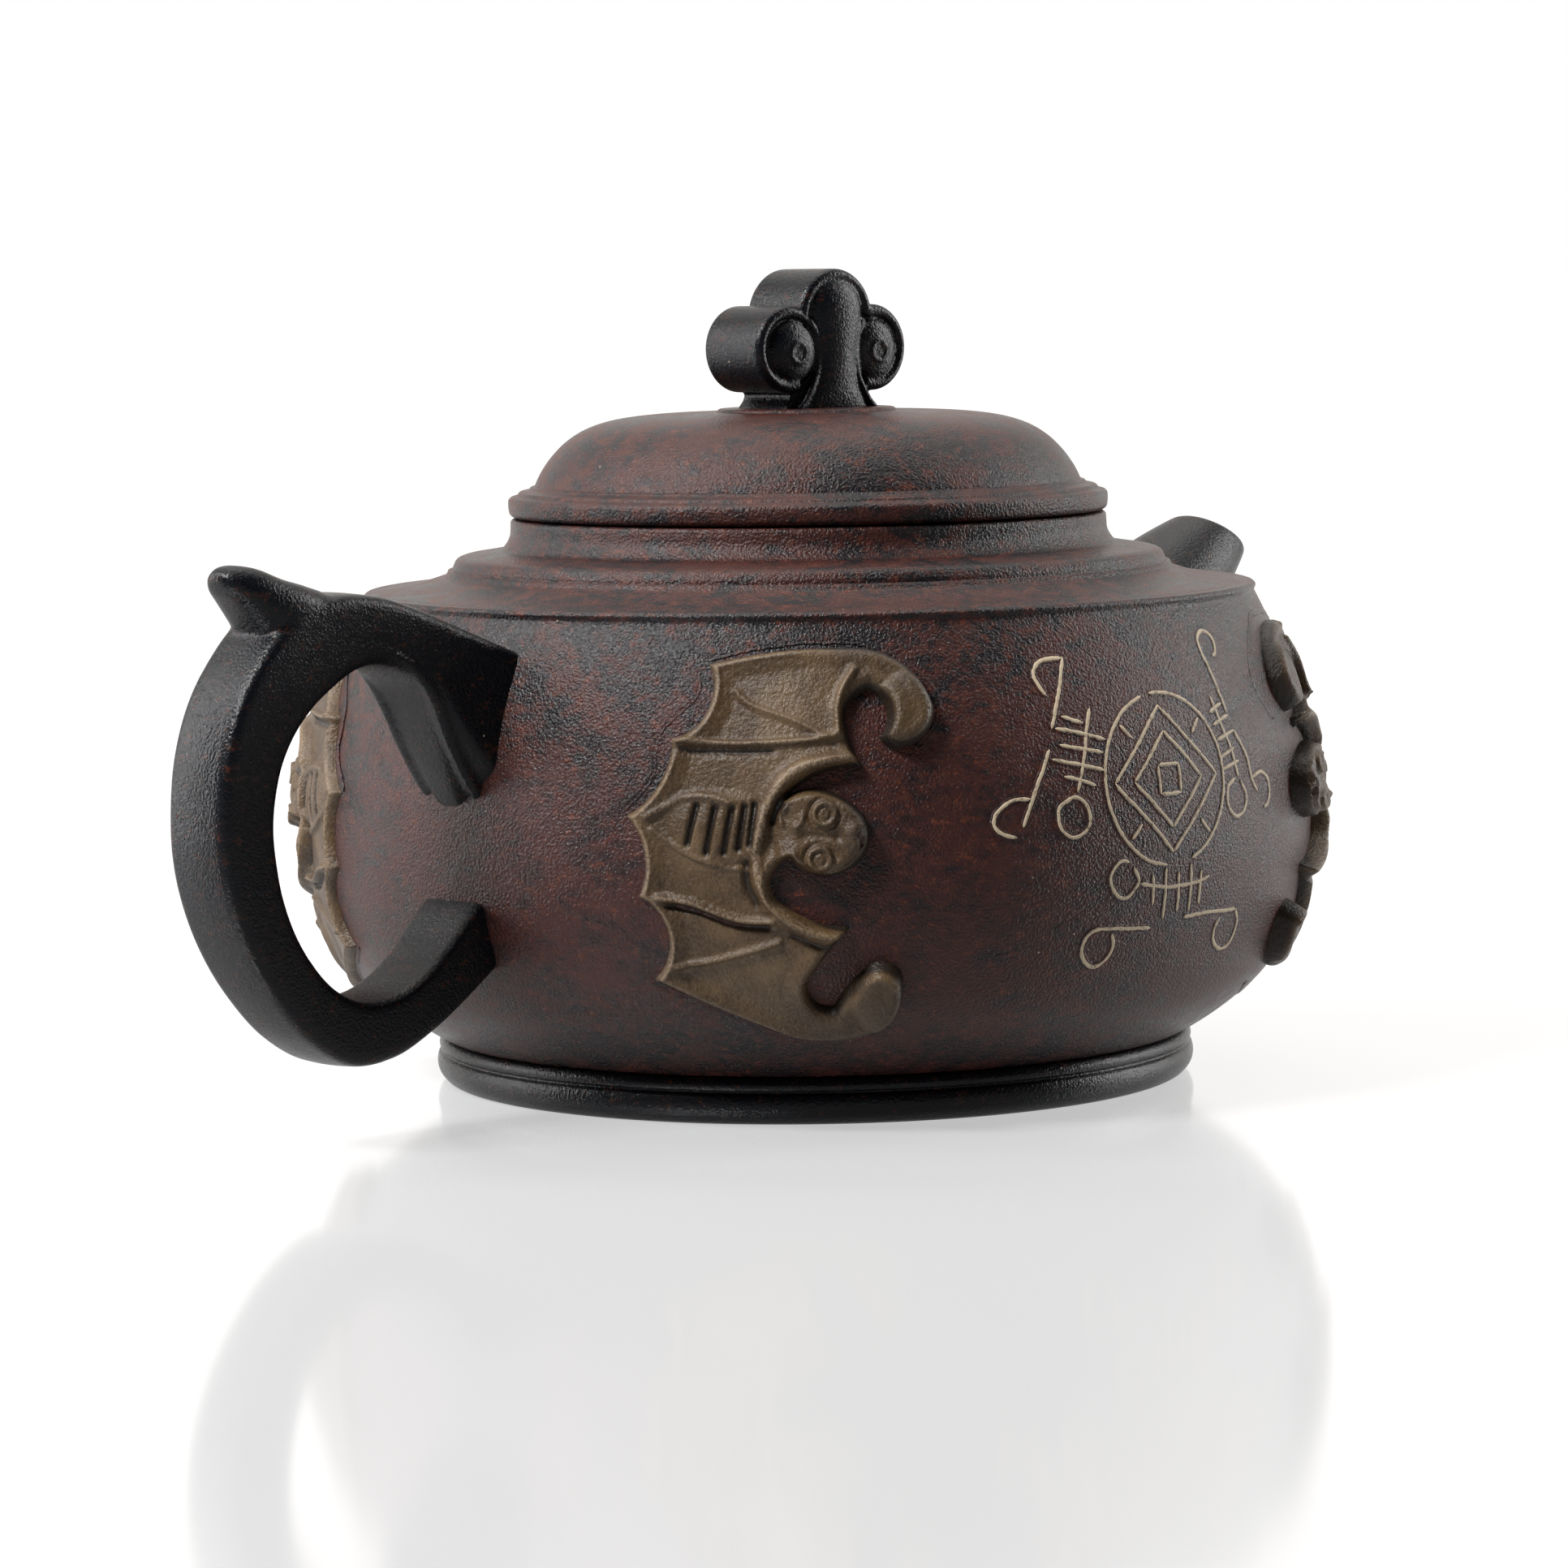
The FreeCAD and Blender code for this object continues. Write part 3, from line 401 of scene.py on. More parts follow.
def spur_rings():
    """Sections of the thumb rest, which is round all over."""
    rings = []
    angles = np.linspace(0, 2 * math.pi, 40, endpoint=False)
    for top_x, top_z, under_x, under_z, half_width in spline(SPUR, 40):
        top, under = np.array([-top_x, top_z]), np.array([-under_x, under_z])
        squareness = 0.72
        up = np.sign(np.sin(angles)) * np.abs(np.sin(angles)) ** squareness
        side = np.sign(np.cos(angles)) * np.abs(np.cos(angles)) ** squareness
        flat = (top + under) / 2 + up[:, None] * (top - under) / 2
        rings.append(np.stack([flat[:, 0], side * half_width, flat[:, 1]], axis=-1))
    return rings


def handle(clay):
    """The loop handle and its thumb rest, worked into one piece of clay."""
    parts = [sweep("loop", handle_rings()), sweep("spur", spur_rings())]
    for part in parts:
        part.data.flip_normals()
    parts.extend([root_ridge(-1), root_ridge(1)])
    made = melt_together("handle_loop", parts, voxel=0.33, smoothing=5)
    return place(made, "pot", "black_clay", clay, "handle", "handle_spur")


# The spout's middle line: distance from the axis, height, lean in degrees, outer and bore radius
SPOUT = (
    (44.0, 28.5, 45.0, 13.6, 10.2),
    (49.5, 34.5, 48.0, 12.2, 9.0),
    (53.0, 40.0, 52.0, 10.9, 7.7),
    (56.0, 45.0, 56.0, 9.7, 6.6),
    (59.3, 49.4, 59.0, 8.3, 5.5),
    (64.3, 53.2, 58.0, 6.5, 4.4),
    (68.8, 55.9, 56.0, 5.0, 3.7),
    (69.6, 56.4, 56.0, 4.5, 3.9),
)


def ring_at(centre_x, centre_z, lean, radius, count=64):
    """A circle of points round the spout's middle line."""
    angles = np.linspace(0, 2 * math.pi, count, endpoint=False)
    along = np.array([math.cos(math.radians(lean)), 0.0, math.sin(math.radians(lean))])
    up = np.array([-along[2], 0.0, along[0]])
    centre = np.array([centre_x, 0.0, centre_z])
    sideways = np.cos(angles)[:, None] * np.array([0.0, 1.0, 0.0])
    return centre + radius * (sideways + np.sin(angles)[:, None] * up)


def spout(clay):
    """The tapering spout with its bore, open at both ends."""
    stations = spline(SPOUT, 60)
    outside = [ring_at(x, z, lean, radius) for x, z, lean, radius, bore in stations]
    inside = [ring_at(x, z, lean, bore) for x, z, lean, radius, bore in stations[::-1]]
    rings = np.array(outside + inside)
    made = closed_ring("spout_tube", rings.reshape(-1, 3), *rings.shape[:2])
    made.data.flip_normals()
    return place(made, "pot", "black_clay", clay, "spout")


# ---------------------------------------------------------------- knob

PAD_TOP = 73.7
LOBE_X, LOBE_Z, LOBE_RADIUS = 6.2, 80.2, 4.75
CROWN_LEAN, CROWN_RADIUS = 0.7, 5.35
CROWN_Z = 88.9 - CROWN_RADIUS
STEM_HALF = 5.6


def half_cloud(inset, lean):
    """The right half of the knob's outline, from its stem up to its top, moved inwards by inset."""
    stem_x = STEM_HALF - inset
    lobe, crown = LOBE_RADIUS - inset, CROWN_RADIUS - inset
    across, up = lean - LOBE_X, CROWN_Z - LOBE_Z
    gap = math.hypot(across, up)
    direction = math.atan2(up, across)
    along = (gap**2 + lobe**2 - crown**2) / (2 * gap)
    lobe_end = direction - math.acos(along / lobe)
    crown_along = (gap**2 + crown**2 - lobe**2) / (2 * gap)
    crown_start = direction - math.pi + math.acos(crown_along / crown)
    lobe_start = -math.acos((stem_x - LOBE_X) / lobe)
    points = [(stem_x + 1.3, PAD_TOP - 0.4), (stem_x + 0.7, PAD_TOP + 0.35), (stem_x + 0.2, PAD_TOP + 1.0)]
    for angle in np.linspace(lobe_start, lobe_end, 40):
        points.append((LOBE_X + lobe * math.cos(angle), LOBE_Z + lobe * math.sin(angle)))
    for angle in np.linspace(crown_start, math.pi / 2, 20):
        points.append((lean + crown * math.cos(angle), CROWN_Z + crown * math.sin(angle)))
    return np.array(points)


def cloud_outline(inset):
    """The knob's whole outline, anticlockwise seen from the front; its crown leans a little to one side."""
    left = half_cloud(inset, -CROWN_LEAN)[::-1][1:] * np.array([-1.0, 1.0])
    return np.vstack([half_cloud(inset, CROWN_LEAN), left])


def slab(name, outline, low, high):
    """An outline in the XZ plane carried from one depth to another."""
    count = len(outline)
    front = np.insert(outline, 1, low, axis=1)
    back = np.insert(outline, 1, high, axis=1)
    faces = [[number, (number + 1) % count, (number + 1) % count + count, number + count]
             for number in range(count)]
    faces.append(list(range(count))[::-1])
    faces.append(list(range(count, 2 * count)))
    return make_mesh(name, np.vstack([front, back]), faces)


def tube(name, line, radius, fade=1):
    """A round bead of clay along a line of points in millimetres, thinning over its last fade points."""
    curve = bpy.data.curves.new(name, "CURVE")
    curve.dimensions = "3D"
    curve.bevel_depth = radius * MM
    curve.bevel_resolution = 3
    curve.use_fill_caps = True
    path = curve.splines.new("POLY")
    path.points.add(len(line) - 1)
    for number, (point, position) in enumerate(zip(path.points, line)):
        point.co = (*(np.asarray(position) * MM), 1.0)
        point.radius = min(1.0, (len(line) - number) / fade)
    thing = bpy.data.objects.new(name, curve)
    bpy.context.scene.collection.objects.link(thing)
    return evaluated_copy(thing, name)


def dome_lump(name, centre, radii):
    """A flattened ball of clay."""
    across = np.linspace(0, 2 * math.pi, 48, endpoint=False)
    rise = np.linspace(-math.pi / 2, math.pi / 2, 26)[1:-1]
    rings = [
        np.stack([
            centre[0] + radii[0] * np.cos(level) * np.cos(across),
            np.full(across.shape, centre[1] + radii[1] * np.sin(level)),
            centre[2] + radii[2] * np.cos(level) * np.sin(across),
        ], axis=-1)
        for level in rise
    ]
    return sweep(name, rings)


def petal_lump(side, face):
    """The petal that rises from the stem, narrows, and swells into the top lobe."""
    stations = spline([
        (73.4, 0.3, 5.6, 0.9), (74.6, 0.35, 4.5, 1.15), (76.4, 0.4, 3.5, 1.3), (79.0, 0.5, 3.05, 1.45),
        (81.5, 0.6, 3.3, 1.55), (83.6, 0.7, 3.7, 1.55), (85.4, 0.7, 3.6, 1.4), (86.9, 0.7, 2.7, 1.0),
        (87.9, 0.7, 0.8, 0.4),
    ], 60)
    rings = []
    angles = np.linspace(0, 2 * math.pi, 40, endpoint=False)
    for height, centre_x, half_width, proud in stations:
        rings.append(np.stack([
            centre_x + half_width * np.cos(angles),
            side * face + proud * np.sin(angles),
            np.full(angles.shape, height),
        ], axis=-1))
    return sweep("petal", rings)


def side_fold(side, face, lean):
    """The thin fold that runs from a scroll down beside the petal to the base."""
    shape = ((4.0, 83.3), (2.9, 81.6), (2.7, 79.4), (3.2, 77.0), (4.6, 74.6), (5.6, 73.6))
    line = [(lean * across + 0.5, side * (face + 0.5), up) for across, up in spline(shape, 30)]
    return tube("fold", line, 0.42)


def scroll_eye(side, face, centre_x):
    """The fine raised ring on a side lobe, with a bead at its middle."""
    turns = np.linspace(0, 2 * math.pi * 1.2, 40)
    radius = 1.25 - 0.35 * turns / turns[-1]
    line = np.stack([
        centre_x + radius * np.cos(turns),
        np.full(turns.shape, side * (face + 1.08)),
        79.75 + radius * np.sin(turns),
    ], axis=-1)
    return tube("eye", line, 0.19)


def knob(clay):
    """The cloud-shaped knob with a beaded edge, domed side scrolls and a petal on each face."""
    face, bead = 4.0, 0.72
    parts = [slab("core", cloud_outline(0.0), -face, face)]
    for side in (-1, 1):
        edge = cloud_outline(bead)
        line = np.insert(edge, 1, side * (face - 0.05), axis=1)
        parts.append(tube("edge_bead", line[3:-3], bead))
        for centre_x in (-LOBE_X, LOBE_X):
            dome_x = centre_x * 0.96 + 0.3
            parts.append(dome_lump("lobe_dome", (dome_x, side * face, 79.9), (3.35, 1.15, 3.5)))
            parts.append(scroll_eye(side, face, dome_x + 0.2))
            parts.append(side_fold(side, face, math.copysign(1.0, centre_x)))
        parts.append(petal_lump(side, face))
    made = melt_together("cloud_knob", parts, voxel=0.16, smoothing=6)
    made.data.transform(Matrix.Rotation(LID_TURN, 4, "Z"))
    return place(made, "lid", "black_clay", clay, "knob", "knob_scrolls_front", "knob_scrolls_back")


# ---------------------------------------------------------------- bats

BAT_START = (-7.4, 17.0)
BAT_ARCS = (
    ((0.0, 18.2), (6.7, 18.4)),
    ((12.3, 16.7), (15.3, 12.4)),
    ((14.4, 9.5), (12.2, 8.4)),
    ((10.8, 8.6), (9.9, 9.5)),
    ((10.6, 12.2), (8.8, 14.2)),
    ((6.9, 12.9), (6.7, 10.2)),
    ((7.2, 8.4), (8.3, 6.7)),
    ((4.2, 6.1), (0.6, 3.9)),
    ((4.7, 4.3), (7.8, 2.4)),
    ((8.9, 0.0), (7.8, -2.8)),
    ((4.6, -4.3), (0.8, -2.4)),
    ((-1.2, -4.6), (0.0, -7.2)),
    ((3.0, -8.9), (6.7, -9.6)),
    ((4.3, -12.4), (2.2, -15.3)),
    ((3.0, -17.5), (4.9, -18.0)),
    ((6.6, -15.6), (8.7, -13.6)),
    ((10.9, -13.6), (11.9, -15.8)),
    ((11.0, -18.9), (7.5, -21.2)),
    ((3.5, -21.5), (-1.0, -20.5)),
    ((-7.0, -18.1), (-13.4, -15.1)),
    ((-11.7, -11.0), (-14.8, -6.5)),
    ((-14.0, -2.5), (-15.9, 1.8)),
    ((-12.4, 5.2), (-11.1, 9.6)),
    ((-7.7, 12.0), (-7.4, 17.0)),
)

# Raised lines on a bat: height, half width, then the points they run through
BAT_RIDGES = (
    (0.8, 0.75, ((8.0, 7.5), (4.4, 7.1), (2.0, 6.6), (0.2, 5.4), (-1.2, 3.2), (-1.9, 0.9), (-2.5, -1.6),
                 (-2.3, -4.2), (-1.2, -6.6), (0.9, -8.6), (3.4, -9.7), (6.0, -10.2))),
    (0.65, 0.34, ((-11.0, 9.4), (-8.0, 9.15), (-3.0, 9.0), (2.5, 9.2), (5.2, 9.6))),
    (0.4, 0.3, ((-4.6, 14.2), (-3.0, 12.8), (1.4, 11.1), (4.6, 9.5))),
    (0.7, 0.36, ((7.2, 16.0), (6.1, 14.2), (5.6, 12.2), (5.7, 9.8))),
    (0.65, 0.36, ((-12.6, -6.4), (-9.4, -6.9), (-7.3, -7.7), (-4.1, -8.7), (-1.0, -8.7))),
    (0.5, 0.32, ((-11.0, -13.5), (-9.0, -13.2), (-6.9, -12.8), (-3.9, -12.0), (-0.4, -10.8))),
    (0.4, 0.4, ((-13.8, 1.6), (-11.4, 2.9), (-10.0, 3.7), (-8.4, 3.9), (-6.6, 3.7), (-5.0, 3.1))),
    (0.3, 0.35, ((-13.0, 0.4), (-11.6, -0.7), (-9.2, -2.2), (-6.0, -3.2), (-3.2, -3.6))),
    (0.35, 0.3, ((-8.6, 16.4), (-7.0, 14.6), (-7.2, 12.6), (-8.6, 11.0), (-10.8, 9.9))),
    (0.5, 0.5, ((4.9, -17.6), (6.2, -16.0), (7.6, -14.7), (9.3, -14.0), (10.9, -15.0))),
)
BAT_RIBS = (
    ((-8.5, 2.9), (-9.5, -0.9)),
    ((-6.6, 2.7), (-7.6, -1.8)),
    ((-4.9, 2.7), (-5.8, -1.8)),
    ((-3.6, 2.8), (-4.3, -1.4)),
    ((-2.6, 3.0), (-3.1, -1.0)),
)
# Cut lines on a bat: depth, half width, then the points they run through
BAT_GROOVES = (
    (0.45, 0.4, ((6.4, 5.9), (3.4, 5.6), (1.2, 4.6), (-0.2, 3.0), (-0.9, 1.2))),
    (0.5, 0.35, ((-11.6, -7.3), (-8.6, -7.9), (-5.0, -9.2), (-1.6, -9.5))),
    (0.35, 0.4, ((-10.6, 8.5), (-6.0, 8.3), (-1.0, 8.3))),
    (0.4, 0.4, ((1.0, -10.2), (3.4, -11.2), (5.4, -11.5))),
    (0.45, 0.45, ((-3.5, -3.0), (-3.5, -5.0), (-2.6, -7.0))),
)
EYES = ((4.3, 2.0), (3.8, -2.35))


def through_three(start, middle, end, count):
    """Points after start up to end on the circle through three points."""
    ax, ay = start
    bx, by = middle
    cx, cy = end
    twice = 2 * (ax * (by - cy) + bx * (cy - ay) + cx * (ay - by))
    if abs(twice) < 1e-6:
        return [np.array(end, float)]
    a2, b2, c2 = ax * ax + ay * ay, bx * bx + by * by, cx * cx + cy * cy
    ox = (a2 * (by - cy) + b2 * (cy - ay) + c2 * (ay - by)) / twice
    oy = (a2 * (cx - bx) + b2 * (ax - cx) + c2 * (bx - ax)) / twice
    first = math.atan2(ay - oy, ax - ox)
    sweep_middle = (math.atan2(by - oy, bx - ox) - first) % (2 * math.pi)
    turn = (math.atan2(cy - oy, cx - ox) - first) % (2 * math.pi)
    if sweep_middle > turn:
        turn -= 2 * math.pi
    radius = math.hypot(ax - ox, ay - oy)
    angles = first + turn * np.arange(1, count + 1) / count
    return [np.array([ox + radius * math.cos(angle), oy + radius * math.sin(angle)]) for angle in angles]


def bat_outline():
    """The bat's outline as a closed line of points."""
    points = [np.array(BAT_START)]
    for middle, end in BAT_ARCS:
        points.extend(through_three(points[-1], middle, end, 10))
    return np.array(points[:-1])


def distance_to_line(u, v, line, closed=False):
    """Distance of each place from a line of points."""
    line = np.asarray(line, float)
    following = np.roll(line, -1, axis=0) if closed else line[1:]
    leading = line if closed else line[:-1]
    nearest = np.full(u.shape, 1e9)
    for (x0, y0), (x1, y1) in zip(leading, following):
        dx, dy = x1 - x0, y1 - y0
        share = np.clip(((u - x0) * dx + (v - y0) * dy) / max(dx * dx + dy * dy, 1e-12), 0, 1)
        nearest = np.minimum(nearest, np.hypot(u - x0 - share * dx, v - y0 - share * dy))
    return nearest


def inside_of(u, v, outline):
    """Whether each place is inside a closed outline."""
    inside = np.zeros(u.shape, bool)
    for (x0, y0), (x1, y1) in zip(outline, np.roll(outline, -1, axis=0)):
        if y0 == y1:
            continue
        crosses = ((y0 > v) != (y1 > v)) & (u < (x1 - x0) * (v - y0) / (y1 - y0) + x0)
        inside ^= crosses
    return inside


def ease(value, low, high):
    """Rises smoothly from 0 to 1 between low and high."""
    share = np.clip((value - low) / (high - low), 0, 1)
    return share * share * (3 - 2 * share)


def bump(u, v, centre, radii):
    """A soft round swelling, 1 at its centre and 0 at its edge."""
    reach = np.hypot((u - centre[0]) / radii[0], (v - centre[1]) / radii[1])
    return np.clip(1 - reach**2, 0, 1)


def line_bump(u, v, line, half_width):
    """A soft rounded line, 1 along its middle."""
    return np.exp(-((distance_to_line(u, v, line) / half_width) ** 2))


def head_relief(u, v):
    """Extra height of a bat's head: brow, eyes, snout and ears."""
    head = bump(u, v, (4.4, -0.2), (5.2, 5.2)) ** 0.5
    height = 1.15 * head
    for centre in EYES:
        reach = np.hypot(u - centre[0], v - centre[1])
        height -= 0.3 * np.exp(-(((reach - 1.45) / 0.25) ** 2))
        height += 0.42 * np.exp(-(((reach - 1.05) / 0.24) ** 2))
        height += 0.4 * np.clip(1 - (reach / 0.62) ** 2, 0, 1)
        height -= 0.3 * np.exp(-((reach / 0.22) ** 2))
    height -= 0.5 * line_bump(u, v, ((2.4, -0.1), (5.6, -0.2)), 0.55)
    height += 0.5 * bump(u, v, (7.3, -0.3), (1.5, 1.8))
    height -= 0.4 * line_bump(u, v, ((8.1, 0.6), (7.5, -0.1), (7.9, -1.0)), 0.24)
    mouth = spline(((8.2, 0.2), (7.5, -1.8), (6.1, -3.1), (4.2, -3.6), (2.0, -3.1)), 20)
    height -= 0.42 * line_bump(u, v, mouth, 0.2)
    for ear in (((0.5, 2.6), (-0.2, 1.9), (0.1, 1.0)), ((2.2, 1.9), (2.0, 1.1), (1.5, 0.7)),
                ((0.2, -3.0), (0.3, -2.0), (1.3, -1.9), (1.6, -2.8), (1.0, -3.1))):
        height += 0.4 * line_bump(u, v, ear, 0.26)
    return height


def bat_height(u, v, depth):
    """Height of a bat's surface above the wall, where depth is the distance in from its outline."""
    thick = 0.75 + 0.65 * ease(u, -6.0, 3.0)
    edge_width = 0.75 + 0.55 * ease(u, -4.0, 5.0)
    share = np.clip(depth / edge_width, 0, 1)
    height = np.where(depth > 0, thick * np.sqrt(1 - (1 - share) ** 2), 3.5 * depth)
    within = ease(depth, 0.0, 0.7)
    height -= 0.4 * ease(depth, 0.9, 2.4) * (1 - 0.5 * ease(u, 0.0, 5.0))
    height += within * 0.22 * np.exp(-(((depth - 0.7) / 0.26) ** 2)) * (1 - ease(u, 0.0, 6.0))
    for rise, half_width, line in BAT_RIDGES:
        height += within * rise * line_bump(u, v, spline(line, 4 * len(line)), half_width)
    for fall, half_width, line in BAT_GROOVES:
        height -= within * fall * line_bump(u, v, spline(line, 4 * len(line)), half_width)
    height += within * 0.75 * bump(u, v, (-6.2, 0.7), (5.4, 3.9)) ** 0.7
    for start, end in BAT_RIBS:
        height -= within * 0.6 * line_bump(u, v, (start, end), 0.32)
    height += within * 0.9 * bump(u, v, (12.6, 11.6), (3.5, 4.2)) ** 0.6
    height += within * 1.0 * bump(u, v, (9.7, -16.4), (3.2, 4.0)) ** 0.6
    height += within * head_relief(u, v)
    return height


def reshape_bat(u, v, curl_reach, head_reach):
    """Bats differ: push the upper curl and the head along by their own reach."""
    curl = ease(u, 0.0, 6.0) * ease(v, 6.2, 9.5)
    face = ease(u, -1.0, 5.5) * (1 - ease(np.abs(v), 2.6, 5.2))
    return u + curl_reach * curl + head_reach * face


def bat(name, node, clay, direction, heading, mirrored, curl_reach=0.0, head_reach=0.0, squash=1.0):
    """One bat pressed on the wall, a fine relief in its own clay; squash shortens it from wing to wing."""
    pitch = 0.18
    columns = np.arange(-17.2, 16.8, pitch)
    rows = np.arange(-23.0, 20.0, pitch)
    u, v = np.meshgrid(columns, rows)
    outline = bat_outline()
    depth = distance_to_line(u, v, outline, closed=True) * np.where(inside_of(u, v, outline), 1, -1)
    height = bat_height(u, v, depth)
    across = heading * reshape_bat(u, v, curl_reach, head_reach)
    deepest = -0.9
    up = BAT_HEIGHT + 12.0 * (1 - squash) + squash * v
    points = on_wall(direction, across, up, np.maximum(height, deepest))
    if mirrored:
        points = points * np.array([1.0, -1.0, 1.0])
    faces = grid_faces(*u.shape)
    skirt = 0.28
    faces = faces[depth.ravel()[faces].max(axis=1) > -skirt]
    if heading * (-1 if mirrored else 1) < 0:
        faces = faces[:, ::-1]
    used = np.unique(faces)
    renumber = np.zeros(u.size, int)
    renumber[used] = np.arange(len(used))
    made = make_mesh(name, points.reshape(-1, 3)[used], renumber[faces])
    # Painted light: the stored numbers lighten and darken the bat's colour as wear, highlight and shade.
    store(made, "wear_light_shade", painted_light_and_wear(u, v, depth).ravel()[used])
    solid = made.modifiers.new("body", "SOLIDIFY")
    solid.thickness = 0.7 * MM
    solid.offset = -1
    return place(made, "pot", "tan_clay", clay, node)


def painted_light_and_wear(u, v, depth):
    """How much each place of a bat is painted pale (up to 1) or dark (down to -1): pale for rubbed wear and
    painted highlight, dark for painted shade in its hollows and over its right side.
    """
    # Painted highlight: a pale band just inside the outline, on the left side only.
    left = 1 - ease(u, 0.0, 5.0)
    wear_light_shade = 0.75 * np.exp(-(((depth - 0.55) / 0.22) ** 2)) * left
    # Ridges and eye rings painted pale: partly rubbed wear, partly painted highlight.
    for rise, half_width, line in BAT_RIDGES:
        wear_light_shade = np.maximum(wear_light_shade, 1.2 * rise * line_bump(u, v, spline(line, 4 * len(line)), half_width * 0.6))
    for centre in EYES:
        reach = np.hypot(u - centre[0], v - centre[1])
        wear_light_shade = np.maximum(wear_light_shade, 0.5 * np.exp(-(((reach - 1.05) / 0.2) ** 2)))
    # Painted shade: dark in the rib slits, the grooves, the slopes on the right, a hollow by the head and
    # over the whole right side.
    for start, end in BAT_RIBS:
        wear_light_shade -= 0.9 * line_bump(u, v, (start, end), 0.36)
    for fall, half_width, line in BAT_GROOVES:
        wear_light_shade -= 1.4 * fall * line_bump(u, v, spline(line, 4 * len(line)), half_width * 1.2)
    wear_light_shade -= 0.9 * (1 - left) * (1 - ease(depth, 0.0, 0.7))
    wear_light_shade -= 0.5 * bump(u, v, (0.4, 3.2), (1.3, 1.2))
    wear_light_shade -= 0.3 * ease(u, 2.0, 9.0)
    return np.clip(wear_light_shade, -1, 1)


def store(thing, name, values):
    """Keep a number at each point of a mesh for its material to read."""
    attribute = thing.data.attributes.new(name, "FLOAT", "POINT")
    attribute.data.foreach_set("value", np.asarray(values, np.float32))


# ---------------------------------------------------------------- slip ornament


def emblem_strokes():
    """A round emblem: a broken ring round two nested diamonds, a small square and four spokes."""
    radius = 8.9
    strokes = []
    for first, last in ((-72, 96), (104, 264)):
        angles = np.radians(np.linspace(first, last, 30))
        strokes.append(np.stack([radius * np.cos(angles), radius * np.sin(angles)], axis=-1))
    for reach in (7.6, 5.0):
        corners = ((reach, 0.0), (0.0, reach), (-reach, 0.0), (0.0, -reach), (reach, 0.0))
        strokes.extend(zip(corners, corners[1:]))
    half = 1.5
    square = ((half, half), (-half, half), (-half, -half), (half, -half), (half, half))
    strokes.extend(zip(square, square[1:]))
    for across, up in ((1, 1), (-1, 1), (-1, -1), (1, -1)):
        strokes.append(((4.4 * across, 4.4 * up), (5.9 * across, 5.9 * up)))
    return strokes


# The comb, loop and two hooked canes drawn three times round the emblem, each time a little differently:
# right of and above the emblem's centre
LOWER_GROUP = (
    ((-4.6, -10.6), (-0.4, -11.2), (4.4, -11.0), (5.9, -10.6)),
    ((-2.9, -9.7), (-2.6, -13.0)),
    ((-1.0, -9.1), (-0.8, -14.6)),
    ((0.9, -9.7), (1.2, -14.0)),
    ((2.8, -9.0), (3.1, -14.1)),
    ((4.5, -9.8), (4.6, -13.5)),
    ((-6.2, -8.2), (-7.4, -8.0), (-8.6, -9.7), (-7.6, -11.5), (-6.2, -11.8), (-4.8, -10.3), (-5.6, -8.7)),
    ((-2.4, -15.4), (-5.3, -15.3), (-9.4, -15.0), (-10.8, -15.8), (-11.0, -17.2), (-10.3, -18.4),
     (-9.0, -19.1), (-7.7, -18.5), (-7.1, -17.1), (-7.6, -15.5)),
    ((2.4, -14.7), (6.9, -14.6), (11.7, -14.7)),
    ((11.7, -14.7), (12.6, -16.4), (12.2, -18.4), (10.7, -19.1), (9.1, -18.4), (8.3, -16.8), (8.9, -15.4)),
)
LEFT_GROUP = (
    ((-9.3, 7.8), (-10.3, 5.4), (-11.1, 2.7), (-12.3, -0.6)),
    ((-12.8, 7.2), (-10.4, 6.4)),
    ((-13.8, 6.0), (-8.1, 4.6)),
    ((-13.6, 4.3), (-8.6, 3.3)),
    ((-14.8, 2.9), (-8.8, 1.5)),
    ((-13.6, 1.1), (-10.0, 0.0)),
    ((-13.6, -1.2), (-14.7, -2.5), (-14.4, -4.4), (-12.8, -5.2), (-11.1, -4.0), (-11.2, -2.0), (-12.7, -1.0),
     (-14.0, -1.7)),
    ((-14.2, 6.0), (-12.5, 9.5), (-10.8, 13.0)),
    ((-10.8, 13.0), (-13.3, 12.9), (-14.7, 11.5), (-13.9, 9.3)),
    ((-14.9, 3.9), (-17.0, -0.1), (-18.7, -3.8)),
    ((-17.6, -0.9), (-19.5, -1.0), (-21.2, -2.2), (-21.6, -3.4), (-20.8, -4.4), (-19.4, -4.8)),
)
RIGHT_GROUP = (
    ((8.8, 8.0), (9.8, 4.9), (10.9, 2.4), (11.7, -0.7)),
    ((8.0, 6.3), (10.6, 7.1)),
    ((8.2, 5.0), (11.5, 5.8)),
    ((8.5, 3.4), (12.1, 4.2)),
    ((8.6, 1.5), (11.6, 2.4)),
    ((8.8, 0.3), (12.2, 1.0)),
    ((11.0, -0.8), (9.6, -1.6), (9.3, -3.4), (10.6, -4.7), (12.4, -4.2), (13.0, -2.6), (12.0, -1.0)),
    ((11.3, 6.0), (10.3, 9.7), (9.4, 12.9), (9.8, 14.2), (11.2, 14.6), (12.4, 13.7), (12.2, 12.4),
     (11.3, 11.9)),
    ((12.0, 4.3), (13.8, 1.6), (14.5, -1.1), (15.5, -2.6)),
    ((14.5, -1.0), (16.5, -0.5), (18.0, -1.2), (18.4, -2.7), (17.8, -3.9), (16.7, -4.4)),
)
